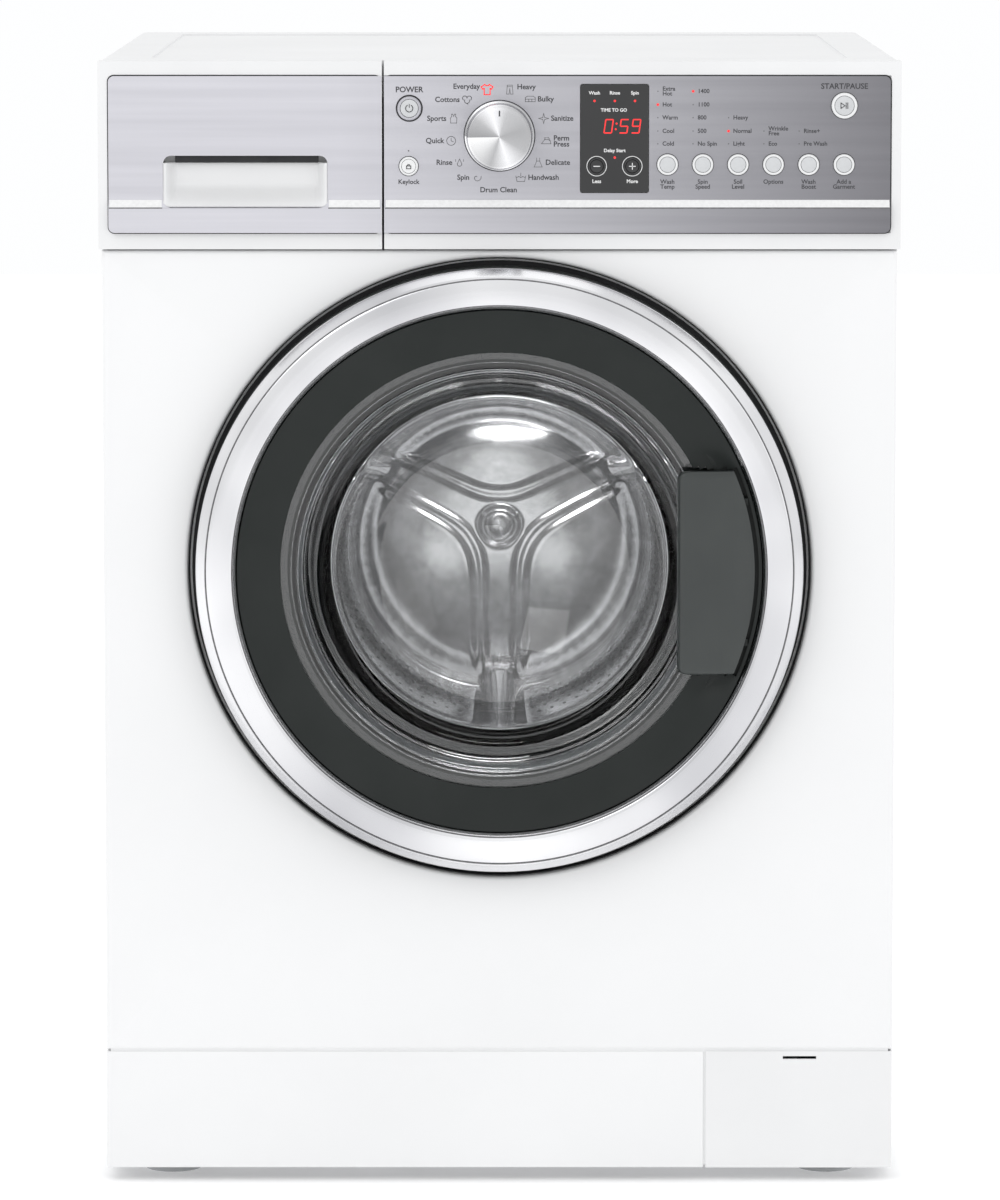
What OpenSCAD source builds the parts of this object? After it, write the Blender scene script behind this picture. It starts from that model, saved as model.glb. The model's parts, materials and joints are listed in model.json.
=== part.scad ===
// Front load washing machine with a direct drive drum.
// Millimetres, +Z up, front towards -Y, origin on the floor under the middle of the machine.

/* [Cabinet] */
// Width of the painted cabinet
body_w = 596; // [590:1:600]
// Width of the control console, slightly wider than the cabinet
console_w = 600; // [596:1:604]
// Overall height from the floor to the worktop
height = 850; // [840:1:870]
// Depth of the cabinet from the front panel face to the rear panel face
body_d = 586; // [580:1:600]
// Thickness of the steel panels
sheet = 2; // [1.5:0.5:2.5]
// Height of the gap under the kick panel
floor_gap = 10; // [8:1:14]
// Height of the top edge of the kick panel
kick_top = 99.7; // [95:0.1:110]
// Height of the bottom edge of the console
console_z = 709.5; // [700:0.5:720]

/* [Door] */
// Height of the drum axis and the door centre
axis_z = 468.5; // [465:0.5:472]
// Radius of the round recess in the front panel
recess_r = 234.4; // [233:0.1:236]
// Depth of the round recess
recess_d = 14; // [13:1:15]
// Outer radius of the bright door ring
ring_r = 228; // [225:0.5:229]
// How far the door ring stands in front of the front panel
door_proud = 28; // [26:1:30]
// How far the handle stands in front of the front panel
handle_proud = 32; // [32:1:34]
// Radius of the visible window at the mouth of the glass bowl
bowl_r = 150; // [146:1:151]
// Height of the door handle
handle_h = 153; // [140:1:160]

/* [Wash unit] */
// Outer radius of the tub
tub_r = 268; // [262:1:269]
// Outer radius of the drum
drum_r = 245; // [240:1:246]
// Radius of the drum mouth
mouth_r = 160; // [156:1:164]
// Number of lifters inside the drum
lifter_count = 3; // [3:1:4]
// Coil turns of each suspension spring
spring_turns = 11; // [8:1:14]

/* [Console] */
// Height of the knob centre
knob_z = 794.5; // [790:0.5:796]
// Radius of the programme knob
knob_r = 25; // [22:0.5:26]
// Height of the row of option buttons
option_z = 773; // [771:0.5:775]
// Spacing of the option buttons
option_step = 26.36; // [24:0.01:27]
// Radius of an option button
option_r = 7.8; // [6:0.1:8]
// Right edge of the detergent drawer front
drawer_edge_x = -87.8; // [-92:0.1:-84]
// Length of the detergent tray
tray_d = 210; // [190:5:230]

/* [Hidden] */
$fn = 96;

// Small offsets for cutting through, and the gap between separate pieces
eps = 1;
gap = 0.3;
// Cabinet planes
spigot_l = 26;
// Collar behind each rear spigot, past its radius and past the rear panel
collar = 1.5;
collar_l = 2;
front_y = -(body_d + spigot_l - handle_proud) / 2;
rear_y = front_y + body_d;
half_w = body_w / 2;
inner_x = half_w - sheet;
tray_z = floor_gap + 4;
flange = 20;
worktop_z = height - 28;
worktop_y = front_y + 22;
flap_x = 155.6;
seam = 0.8;
// Rear panel openings
service_w = 340;
service_z = 430;
inlet_x = [-190, -140];
inlet_z = 780;
inlet_r = 13.2;
outlet_x = 262;
outlet_z = 700;
outlet_r = 11;
gland_x = 205;
gland_z = 780;
gland_r = 4.5;
// Feet
foot_xy = [[-250, -238], [250, -238], [-250, 250], [250, 250]];
foot_r = 22;
stud_r = 5;
fit = 0.05;
// Console planes
face_y = front_y - 4;
skin_y = face_y - 1;
band_y = skin_y - 3;
console_back = worktop_y - 1;
fascia_x = 292;
fascia_z0 = 722;
fascia_z1 = 839;
ledge_z0 = 740.7;
ledge_z1 = 746.6;
board_y = front_y + 6;
button_travel = 1.2;
stem_r = 3;
// Display window
window_x = [60.4, 111.4];
window_z = [752, 832.9];
// Detergent drawer
grip_x = [-251.3, -128.5];
grip_z = [740.7, 779.6];
grip_y = front_y + 12;
tray_x = [-266, -122];
tray_zr = [746, 786];
housing_wall = 3;
// Door planes
recess_y = front_y + recess_d;
collar_r = 178;
ring_y = front_y - door_proud;
ring_back = front_y - 16;
frame_back = front_y + 6;
frame_r = ring_r + 0.5;
inner_ring_r = 197;
hinge_x = -215;
hinge_y = front_y - 10;
pin_r = 3;
lever_x = 182;
lever_y = front_y - 19;
lever_pin_r = 2;
hook_x = 206;
hook_y = front_y - 2;
// Tub and drum planes along Y
tub_y0 = -190;
tub_y1 = 190;
tub_wall = 6;
tub_split = -5;
neck_r = 167.7;
neck_y = -215;
drum_y0 = -175;
drum_y1 = 158;
drum_sheet = 1.5;
shaft_r = 15;
hub_r = 45;
// Suspension
spring_x = 240;
spring_y = 30;
spring_z0 = 652;
rail_z = worktop_z - 16;
damper_x = 150;
damper_y = 20;
rod_r = 8;
// Drain pump
pump_x = 200;
pump_z = 56;
filter_r = 27;

// ---- Helpers ----
// Box between two corners
module box(x0, x1, y0, y1, z0, z1) {
  translate([x0, y0, z0]) cube([x1 - x0, y1 - y0, z1 - z0]);
}
// Rods along each axis
module rod_x(y, z, x0, x1, r) {
  translate([x0, y, z]) rotate([0, 90, 0]) cylinder(h = x1 - x0, r = r);
}
module rod_y(x, z, y0, y1, r) {
  translate([x, y0, z]) rotate([-90, 0, 0]) cylinder(h = y1 - y0, r = r);
}
module rod_z(x, y, z0, z1, r) {
  translate([x, y, z0]) cylinder(h = z1 - z0, r = r);
}
// Outline in X and Z, extruded along Y
module slab_y(y0, y1) {
  translate([0, y1, 0]) rotate([90, 0, 0]) linear_extrude(y1 - y0) children();
}
// Outline in Y and Z, extruded along X
module bar_x(x0, x1) {
  translate([x0, 0, 0]) rotate([90, 0, 90]) linear_extrude(x1 - x0) children();
}
// Outline in radius and Y, turned about the drum axis
module lathe(outline) {
  translate([0, 0, axis_z]) rotate([-90, 0, 0]) rotate_extrude() polygon(outline);
}
// Flat ring about the drum axis
module ring(y0, y1, r_out, r_in) {
  lathe([[r_in, y0], [r_out, y0], [r_out, y1], [r_in, y1]]);
}
// Rectangle with round corners, given by its edges
module rounded(x0, x1, z0, z1, r) {
  translate([x0 + r, z0]) square([x1 - x0 - 2 * r, z1 - z0]);
  translate([x0, z0 + r]) square([x1 - x0, z1 - z0 - 2 * r]);
  for (x = [x0 + r, x1 - r], z = [z0 + r, z1 - r]) translate([x, z]) circle(r);
}
// Round tube swept along a list of points, as one closed solid
function unit(v) = v / norm(v);
function tangent(path, i) =
  unit(path[min(i + 1, len(path) - 1)] - path[max(i - 1, 0)]);
function side_of(t) = unit(cross(t, abs(t[2]) > 0.9 ? [0, 1, 0] : [0, 0, 1]));
module tube(path, r, sides) {
  points = [
    for (i = [0 : len(path) - 1])
      let (t = tangent(path, i), u = side_of(t), v = cross(t, u))
        for (k = [0 : sides - 1]) path[i] + r * (cos(360 * k / sides) * u + sin(360 * k / sides) * v)
  ];
  last = (len(path) - 1) * sides;
  walls = [
    for (i = [0 : len(path) - 2], k = [0 : sides - 1])
      let (a = i * sides + k, b = i * sides + (k + 1) % sides) [a, a + sides, b + sides, b]
  ];
  start = [for (k = [0 : sides - 1]) k];
  end = [for (k = [sides - 1 : -1 : 0]) last + k];
  polyhedron(points = points, faces = concat([start], walls, [end]));
}
// Smooth curve through a list of points
function spline_point(p, i, t) =
  let (a = p[max(i - 1, 0)], b = p[i], c = p[i + 1], d = p[min(i + 2, len(p) - 1)])
    0.5 * (2 * b + (c - a) * t + (2 * a - 5 * b + 4 * c - d) * t * t
      + (3 * b - a - 3 * c + d) * t * t * t);
function smooth_path(p, steps) = concat(
  [for (i = [0 : len(p) - 2], k = [0 : steps - 1]) spline_point(p, i, k / steps)],
  [p[len(p) - 1]]
);

// ---- Cabinet ----
module side_panel(side) {
  y0 = front_y + flange + 1.5;
  x0 = side > 0 ? inner_x : -half_w;
  color("white") union() {
    box(x0, x0 + sheet, y0, rear_y, floor_gap, worktop_z);
    lip_x = side > 0 ? inner_x - flange : -inner_x;
    box(lip_x, lip_x + flange, y0, y0 + sheet, kick_top + 2, console_z - 2);
  }
}
module side_panel_left() side_panel(-1);
module side_panel_right() side_panel(1);

module rear_panel() {
  y0 = rear_y - sheet;
  color("white") difference() {
    box(-inner_x, inner_x, y0, rear_y, tray_z + sheet, worktop_z);
    slab_y(y0 - eps, rear_y + eps)
      rounded(-service_w / 2, service_w / 2, service_z - service_w / 2, service_z + service_w / 2, 30);
    for (x = inlet_x) rod_y(x, inlet_z, y0 - eps, rear_y + eps, inlet_r + collar + gap);
    rod_y(outlet_x, outlet_z, y0 - eps, rear_y + eps, outlet_r + collar + gap);
    rod_y(gland_x, gland_z, y0 - eps, rear_y + eps, gland_r);
  }
}
module rear_cover() {
  lap = 12;
  half = service_w / 2 + lap;
  color("lightgray") difference() {
    union() {
      slab_y(rear_y, rear_y + 1.5) rounded(-half, half, service_z - half, service_z + half, 36);
      for (x = [-1, 1], z = [-1, 1])
        rod_y(x * (half - 7), service_z + z * (half - 40), rear_y + 1.5, rear_y + 4, 5);
    }
    for (z = [-90 : 20 : 90])
      slab_y(rear_y - eps, rear_y + 3) translate([-60, service_z + z]) square([120, 6]);
  }
}
module worktop() {
  rim = 35;
  color("white") difference() {
    union() {
      translate([0, 0, worktop_z]) linear_extrude(height - worktop_z)
        rounded(-half_w, half_w, worktop_y, rear_y, 6);
    }
    translate([0, 0, height - 1.5]) linear_extrude(3)
      rounded(-half_w + rim, half_w - rim, worktop_y + rim, rear_y - rim, 10);
    box(-half_w + 8, half_w - 8, worktop_y + 8, rear_y - 8, worktop_z - eps, height - 8);
  }
}
module front_panel() {
  z0 = kick_top + 1.2;
  z1 = console_z - 1.2;
  color("white") difference() {
    union() {
      box(-half_w, half_w, front_y, front_y + sheet, z0, z1);
      for (x = [-half_w, inner_x]) box(x, x + sheet, front_y, front_y + flange, z0, z1);
      ring(front_y, recess_y + sheet, recess_r + sheet, recess_r - 1);
      ring(recess_y, recess_y + sheet, recess_r + sheet, collar_r);
      ring(recess_y, recess_y + 12, collar_r + sheet, collar_r);
    }
    ring(front_y - eps, recess_y, recess_r, 0);
    // Slot for the latch hook
    box(hook_x - 9, hook_x + 13, recess_y - eps, recess_y + 4, axis_z - 11, axis_z + 11);
  }
}
module base_tray() {
  y0 = front_y + flange;
  y1 = rear_y - sheet;
  rim_z = tray_z + 24;
  color("gray") difference() {
    union() {
      box(-inner_x, inner_x, y0, y1 + sheet, tray_z, tray_z + sheet);
      for (x = [-inner_x, inner_x - sheet]) box(x, x + sheet, y0, y1, tray_z, rim_z);
      box(-inner_x, inner_x, y1 - sheet, y1, tray_z, rim_z);
      for (p = foot_xy) rod_z(p[0], p[1], tray_z, tray_z + 14, 10);
      for (s = [-1, 1]) box(s * damper_x - 22, s * damper_x + 22, damper_y - 22, damper_y + 22,
        tray_z, tray_z + 8);
    }
    for (p = foot_xy) rod_z(p[0], p[1], tray_z - eps, tray_z + 15, stud_r + fit);
  }
}
module kick_panel() {
  color("white") union() {
    box(-half_w, flap_x - seam, front_y, front_y + 2.5, floor_gap, kick_top);
    box(-half_w, flap_x - seam, front_y + 2.5, front_y + 18, kick_top - 2.5, kick_top);
    box(-half_w, -half_w + 2.5, front_y + 2.5, front_y + 18, floor_gap, kick_top - 2.5);
    box(flap_x - seam - 2.5, flap_x - seam, front_y + 2.5, front_y + 18, floor_gap, kick_top - 2.5);
  }
}
module top_rails() {
  color("gray") for (s = [-1, 1]) {
    x0 = s > 0 ? spring_x - 12 : -inner_x;
    x1 = s > 0 ? inner_x : -spring_x + 12;
    box(x0, x1, front_y + 28, rear_y - sheet, rail_z, rail_z + 3);
    web = s > 0 ? inner_x - 3 : -inner_x;
    box(web, web + 3, front_y + 28, rear_y - sheet, rail_z + 3, worktop_z);
  }
}
module levelling_feet() {
  color("dimgray") for (p = foot_xy) {
    rod_z(p[0], p[1], 0, 7, foot_r);
    rod_z(p[0], p[1], 7, tray_z - 3, 9);
    rod_z(p[0], p[1], tray_z - 3, tray_z + 32, stud_r);
  }
}
module filter_flap() {
  slot_x0 = 215;
  slot_x1 = 240.3;
  x1 = half_w - 0.5;
  hinge_y = front_y + 4;
  color("white") difference() {
    union() {
      box(flap_x + seam, x1, front_y, front_y + 2.5, floor_gap, kick_top);
      for (x = [flap_x + 6, x1 - 10])
        box(x, x + 4, front_y + 2.5, front_y + 7, floor_gap + 2, floor_gap + 10);
      for (x = [flap_x + 5, x1 - 11]) rod_x(hinge_y, floor_gap + 6, x, x + 6, 1.4);
    }
    box(slot_x0, slot_x1, front_y - eps, front_y + 4, 93.7, 95.9);
  }
}

// ---- Suspension ----
// Centre line of a spring, with both ends drawn in
function coil_point(t, x) =
  let (grow = min(1, 0.4 + t / 0.1, 0.4 + (1 - t) / 0.1), r = 13 * grow, a = 360 * spring_turns * t)
    [x + r * cos(a), spring_y + r * sin(a), spring_z0 + 2 + gap + t * (rail_z - spring_z0 - 4 - 2 * gap)];
module suspension_springs() {
  steps = spring_turns * 10;
  color("silver") for (s = [-1, 1])
    tube([for (i = [0 : steps]) coil_point(i / steps, s * spring_x)], 2, 6);
}
module damper_cylinders() {
  z0 = tray_z + 8;
  color("dimgray") for (s = [-1, 1]) difference() {
    union() {
      rod_z(s * damper_x, damper_y, z0, z0 + 100, 14);
      rod_z(s * damper_x, damper_y, z0, z0 + 6, 18);
    }
    rod_z(s * damper_x, damper_y, z0 + 8, z0 + 101, rod_r + fit);
  }
}
module damper_rods() {
  lug_z = axis_z - sqrt(tub_r * tub_r - damper_x * damper_x) - 14;
  color("silver") for (s = [-1, 1]) rod_z(s * damper_x, damper_y, 60, lug_z, rod_r);
}

// ---- Console ----
console_x0 = drawer_edge_x + 2 * seam;
skin_back = face_y + 1.5;
wall_back = face_y + 3.5;
function option_x(i) = 125.5 + i * option_step;
power_at = [-67.3, 815, 9];
keylock_at = [-67.8, 771.8, 7.1];
start_at = [257.4, 817, 9.7];
less_at = [72.6, 771.8, 6.6];
more_at = [99.2, 771.8, 6.6];
skin_buttons = concat([power_at, keylock_at, start_at],
  [for (i = [0 : 5]) [option_x(i), option_z, option_r]]);
window_buttons = [less_at, more_at];

// Outline of the silver skin seen from the side: flat face, sloping ledge and lower band
module skin_profile(y_back) {
  polygon([[y_back, fascia_z0], [band_y, fascia_z0], [band_y, ledge_z0], [skin_y, ledge_z1],
    [skin_y, fascia_z1], [y_back, fascia_z1]]);
}
module console_housing() {
  wall = 2.5;
  color("white") difference() {
    box(console_x0, console_w / 2, face_y, console_back, console_z, height);
    box(console_x0 + wall, console_w / 2 - wall, wall_back, console_back + eps, console_z + wall,
      height - wall);
    box(console_x0 - eps, fascia_x + gap, face_y - eps, skin_back, fascia_z0 - gap, fascia_z1 + gap);
    box(window_x[0] + 3, window_x[1] - 3, face_y, wall_back + eps, window_z[0] + 3, window_z[1] - 3);
    for (b = skin_buttons) rod_y(b[0], b[1], face_y, wall_back + eps, b[2] + gap);
    rod_y(0, knob_z, face_y, wall_back + eps, pin_r + fit);
  }
}
module console_fascia() {
  color("silver") difference() {
    intersection() {
      bar_x(console_x0, fascia_x) skin_profile(skin_back);
      slab_y(band_y - eps, skin_back + eps) rounded(console_x0 - 20, fascia_x, fascia_z0, fascia_z1, 4.5);
    }
    slab_y(band_y - eps, skin_back + eps)
      rounded(window_x[0] - gap, window_x[1] + gap, window_z[0] - gap, window_z[1] + gap, 2);
    for (b = skin_buttons) rod_y(b[0], b[1], band_y, skin_back + eps, b[2] + gap);
    rod_y(0, knob_z, band_y, skin_back + eps, pin_r + fit);
  }
}
module display_window() {
  color("black") difference() {
    slab_y(skin_y - 0.3, skin_back) rounded(window_x[0], window_x[1], window_z[0], window_z[1], 2);
    for (b = window_buttons) rod_y(b[0], b[1], skin_y - eps, skin_back + eps, b[2] + gap);
  }
}
module control_board() {
  color("darkgreen") union() {
    box(console_x0 + 6, fascia_x - 6, board_y, board_y + 1.6, 757, 835);
    box(-40, 40, board_y + 1.6, board_y + 12, 770, 800);
  }
}
// Push button: cap, retaining flange behind the housing wall, and stem
module button(at) {
  union() {
    rod_y(at[0], at[1], skin_y - 2.2, wall_back + 1.6, at[2]);
    rod_y(at[0], at[1], wall_back + gap, wall_back + 1.6, at[2] + 1.5);
    rod_y(at[0], at[1], wall_back + 1.6, board_y - gap - button_travel, stem_r);
  }
}
module power_button() color("silver") button(power_at);
module keylock_button() color("silver") button(keylock_at);
module start_button() color("silver") button(start_at);
module option_button(i) color("silver") button([option_x(i), option_z, option_r]);
module wash_temp_button() option_button(0);
module spin_speed_button() option_button(1);
module soil_level_button() option_button(2);
module options_button() option_button(3);
module wash_boost_button() option_button(4);
module add_garment_button() option_button(5);
module delay_less_button() color("dimgray") button(less_at);
module delay_more_button() color("dimgray") button(more_at);

module program_knob() {
  front = skin_y - 22;
  back = skin_y - 0.6;
  color("silver") difference() {
    union() {
      translate([0, 0, knob_z]) rotate([-90, 0, 0]) rotate_extrude()
        polygon([[0, front + 0.8], [knob_r - 4, front], [knob_r - 1.5, front + 0.8],
          [knob_r - 0.6, front + 3], [knob_r, back - 3], [knob_r + 1, back - 2.4],
          [knob_r + 1, back], [0, back]]);
      rod_y(0, knob_z, back, board_y - gap, pin_r);
    }
    // Pointer notch
    box(-1, 1, front - eps, front + 1.2, knob_z + knob_r - 8, knob_z + knob_r + 2);
  }
}

// ---- Detergent drawer ----
drawer_back = console_back - 3;
module drawer_front() {
  wall = 2.5;
  slot_x = [grip_x[0] + 8.6, grip_x[1] - 6.8];
  slot_top = grip_z[1] + 12;
  color("white") difference() {
    union() {
      difference() {
        box(-console_w / 2, drawer_edge_x, face_y, drawer_back, console_z, height);
        box(-console_w / 2 + wall, drawer_edge_x - wall, wall_back, drawer_back + eps,
          console_z + wall, height - wall);
      }
      intersection() {
        bar_x(-fascia_x, drawer_edge_x) skin_profile(face_y + 0.5);
        slab_y(band_y - eps, face_y + 1) rounded(-fascia_x, drawer_edge_x + 20, fascia_z0, fascia_z1, 4.5);
      }
      box(grip_x[0] - wall, grip_x[1] + wall, face_y, grip_y + wall, grip_z[0] - wall, grip_z[1] + wall);
      box(slot_x[0] - wall, slot_x[1] + wall, face_y, grip_y + wall, grip_z[1], slot_top + wall);
    }
    slab_y(band_y - eps, grip_y) rounded(grip_x[0], grip_x[1], grip_z[0], grip_z[1], 6);
    box(slot_x[0], slot_x[1], wall_back, grip_y, grip_z[1] - 4, slot_top);
  }
}
module drawer_tray() {
  wall = 2;
  y0 = grip_y + 2.5;
  y1 = y0 + tray_d;
  cell = (tray_x[1] - tray_x[0] - wall) / 3;
  color("whitesmoke") difference() {
    box(tray_x[0], tray_x[1], y0, y1, tray_zr[0], tray_zr[1]);
    for (i = [0 : 2])
      box(tray_x[0] + wall + i * cell, tray_x[0] + (i + 1) * cell, y0 + wall + 8, y1 - wall,
        tray_zr[0] + wall, tray_zr[1] + eps);
  }
}
module dispenser_housing() {
  clear = 3;
  x0 = tray_x[0] - clear;
  x1 = tray_x[1] + clear;
  z0 = tray_zr[0] - clear;
  z1 = tray_zr[1] + clear;
  y0 = worktop_y;
  y1 = -40;
  color("lightgray") difference() {
    union() {
      box(x0 - housing_wall, x1 + housing_wall, y0, y1, z0 - housing_wall, z1 + housing_wall);
      box(-inner_x, x1 + 24, y0, y0 + 3, z0 - 24, z1 + 14);
      rod_z(-200, -60, z0 - 24, z0 - 1, 12);
    }
    box(x0, x1, y0 - eps, y1 - housing_wall, z0, z1);
    rod_z(-200, -60, z0 - 25, z0 + 1, 9);
  }
}

// ---- Water side ----
module inlet_valve() {
  y1 = rear_y - sheet;
  color("whitesmoke") difference() {
    union() {
      box(inlet_x[0] - 22, inlet_x[1] + 22, y1 - 44, y1, inlet_z - 18, inlet_z + 18);
      for (x = inlet_x) {
        rod_y(x, inlet_z, y1, rear_y + collar_l, inlet_r + collar);
        rod_y(x, inlet_z, rear_y + collar_l, rear_y + spigot_l, inlet_r);
        rod_y(x, inlet_z, -40, y1 - 44, 7);
        rod_z(x, y1 - 24, inlet_z - 44, inlet_z - 18, 13);
      }
    }
    for (x = inlet_x) {
      rod_y(x, inlet_z, y1 - 36, rear_y + spigot_l + eps, 9);
      rod_y(x, inlet_z, -41, y1 - 36, 4.5);
    }
  }
}
module drain_pump() {
  y0 = front_y + 8;
  color("whitesmoke") difference() {
    union() {
      rod_y(pump_x, pump_z, y0, y0 + 3, 37);
      rod_y(pump_x, pump_z, y0, y0 + 84, filter_r + 4);
      rod_y(pump_x, pump_z, y0 + 80, y0 + 118, 37);
      rod_y(pump_x, pump_z, y0 + 118, y0 + 168, 26);
      rod_x(y0 + 60, pump_z + 2, 158, pump_x - 10, 18);
      rod_z(pump_x, y0 + 100, pump_z + 20, 106, 9);
    }
    rod_y(pump_x, pump_z, y0 - eps, y0 + 84, filter_r);
    rod_y(pump_x, pump_z, y0 + 83, y0 + 112, 32);
    rod_x(y0 + 60, pump_z + 2, 157, pump_x - 12, 14);
    rod_z(pump_x, y0 + 100, pump_z + 20, 107, 6.5);
  }
}
module pump_filter() {
  y0 = front_y + 8;
  color("white") difference() {
    union() {
      rod_y(pump_x, pump_z, y0 - gap - 3, y0 - gap, 33);
      rod_y(pump_x, pump_z, y0 - gap, y0 + 30, filter_r - fit);
      rod_y(pump_x, pump_z, y0 + 30, y0 + 70, 20);
      box(pump_x - 3, pump_x + 3, y0 - 5, y0 - 3, pump_z - 26, pump_z + 26);
    }
    for (a = [-60, 0, 60])
      translate([pump_x, y0 + 50, pump_z]) rotate([0, a, 0]) cube([8, 26, 60], center = true);
  }
}
sump_at = [40, -60];
module sump_hose() {
  route = [[sump_at[0], sump_at[1], 177], [41, -62, 150], [56, -85, 112], [80, -140, 80],
    [105, -200, 62], [138, -222, 58], [154, -222, 58]];
  color("dimgray") tube(smooth_path(route, 4), 20, 12);
}
module fill_hose() {
  top = tray_zr[0] - 6;
  z0 = 669;
  z1 = top - 22;
  rings = 5;
  step = (z1 - z0) / rings;
  color("dimgray") translate([-200, -60, z0]) rotate_extrude()
    polygon(concat([[0, 0]],
      [for (i = [0 : rings - 1], p = [[12, 0], [15, step / 2]]) [p[0], p[1] + i * step]],
      [[12, z1 - z0], [0, z1 - z0]]));
}
module drain_hose() {
  route = [[pump_x, front_y + 108, 106.5], [203, -180, 128], [235, -155, 150], [272, -80, 160],
    [274, 60, 165], [274, 190, 190], [270, 255, 260], [265, 262, 420], [263, 262, 600],
    [262, 262, 670]];
  color("dimgray") union() {
    tube(smooth_path(route, 3), 10, 10);
    rod_z(outlet_x, 262, 670, outlet_z + 10, outlet_r + 3);
  }
  color("dimgray") difference() {
    union() {
      rod_y(outlet_x, outlet_z, 262 + outlet_r, rear_y + collar_l, outlet_r + collar);
      rod_y(outlet_x, outlet_z, rear_y + collar_l, rear_y + spigot_l, outlet_r);
    }
    rod_y(outlet_x, outlet_z, 262 + outlet_r + 4, rear_y + spigot_l + eps, outlet_r - 2.5);
  }
}

// ---- Tub ----
flange_r = tub_r + 6;
tub_in = tub_r - tub_wall;
module tub_front() {
  color("lightgray") difference() {
    union() {
      lathe([[neck_r - 3, neck_y], [neck_r, neck_y], [neck_r, tub_y0], [tub_r, tub_y0],
        [tub_r, tub_split - 7], [flange_r, tub_split - 7], [flange_r, tub_split],
        [tub_in, tub_split], [tub_in, tub_y0 + tub_wall], [neck_r - 3, tub_y0 + tub_wall]]);
      rod_z(sump_at[0], sump_at[1], 178, 212, 18);
      rod_z(-200, -60, 630, 668, 12);
    }
    ring(tub_y0 + tub_wall, tub_split + eps, tub_in, 0);
    rod_z(sump_at[0], sump_at[1], 177, 230, 14);
    rod_z(-200, -60, 620, 669, 9);
  }
}
heater_x = 22;
heater_z = axis_z - 253.5;
module tub_rear() {
  bearing_seat = 31;
  lug_bottom = axis_z - sqrt(tub_r * tub_r - damper_x * damper_x) - 14;
  color("lightgray") difference() {
    union() {
      lathe([[tub_in, tub_split], [flange_r, tub_split], [flange_r, tub_split + 7],
        [tub_r, tub_split + 7], [tub_r, tub_y1], [hub_r, tub_y1], [hub_r, tub_y1 + 32],
        [bearing_seat, tub_y1 + 32], [bearing_seat, tub_y1 - 14], [hub_r, tub_y1 - 14],
        [hub_r, tub_y1 - tub_wall], [tub_in, tub_y1 - tub_wall]]);
      for (a = [15 : 30 : 345]) translate([0, 0, axis_z]) rotate([0, a, 0])
        box(hub_r + 4, tub_r - 6, tub_y1 - 2, tub_y1 + 6, -3, 3);
      for (s = [-1, 1]) {
        box(s > 0 ? 190 : -252, s > 0 ? 252 : -190, spring_y - 12, spring_y + 12, 600, spring_z0);
        box(s * damper_x - 16, s * damper_x + 16, damper_y - 9, damper_y + 16, lug_bottom, 262);
      }
    }
    ring(tub_split - eps, tub_y1 - tub_wall, tub_in, hub_r + 5);
    for (s = [-1, 1]) rod_y(s * heater_x, heater_z, tub_y1 - 8, tub_y1 + 8, 4 + fit);
  }
}
module counterweights() {
  top = 772;
  color("darkgray") ring(tub_y0 - 30, tub_y0, 250, 190);
  color("darkgray") difference() {
    box(-92, 140, -110, 110, axis_z + 225, top);
    ring(-120, 120, tub_r + fit, 0);
    ring(tub_split - 7.3, tub_split + 7.3, flange_r + gap, 0);
  }
}
module heater() {
  color("silver") union() {
    for (s = [-1, 1]) rod_y(s * heater_x, heater_z, -120, tub_y1 + 14, 4);
    translate([0, -120, heater_z]) rotate([0, 0, 180]) rotate_extrude(angle = 180)
      translate([heater_x, 0]) circle(4);
    box(-36, 36, tub_y1 + 6.5, tub_y1 + 9, heater_z - 11, heater_z + 11);
  }
}
module stator() {
  y0 = tub_y1 + 6.5;
  color("orange") union() {
    ring(y0, y0 + 28, 90, 64);
    ring(y0, y0 + 6, 64, hub_r + 1);
    for (a = [0 : 15 : 345]) translate([0, 0, axis_z]) rotate([0, a, 0])
      box(88, 120, y0 + 3, y0 + 26, -6, 6);
  }
}
module bearings() {
  color("silver") for (y0 = [tub_y1 - 12, tub_y1 + 14]) ring(y0, y0 + 16, 31 - fit, shaft_r + fit);
}

// ---- Drum ----
module drum_shell() {
  inner = drum_r - drum_sheet;
  color("silver") lathe([[mouth_r, drum_y0 - 6], [mouth_r + 4, drum_y0 - 6], [mouth_r + 4, drum_y0],
    [drum_r - 5, drum_y0], [drum_r, drum_y0 + 5], [drum_r, drum_y1 + 2], [inner, drum_y1 + 2],
    [inner, drum_y0 + 6], [drum_r - 6, drum_y0 + drum_sheet], [mouth_r, drum_y0 + drum_sheet]]);
}
module drum_back() {
  edge = drum_r - drum_sheet;
  color("silver") union() {
    lathe([[0, drum_y1 - 12], [26, drum_y1 - 12], [44, drum_y1], [edge, drum_y1],
      [edge, drum_y1 + 2], [0, drum_y1 + 2]]);
    for (i = [0 : lifter_count - 1]) translate([0, 0, axis_z])
      rotate([0, 90 + i * 360 / lifter_count, 0])
        box(20, edge - 22, drum_y1 - 7, drum_y1 + 1, -26, 26);
  }
}
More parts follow.
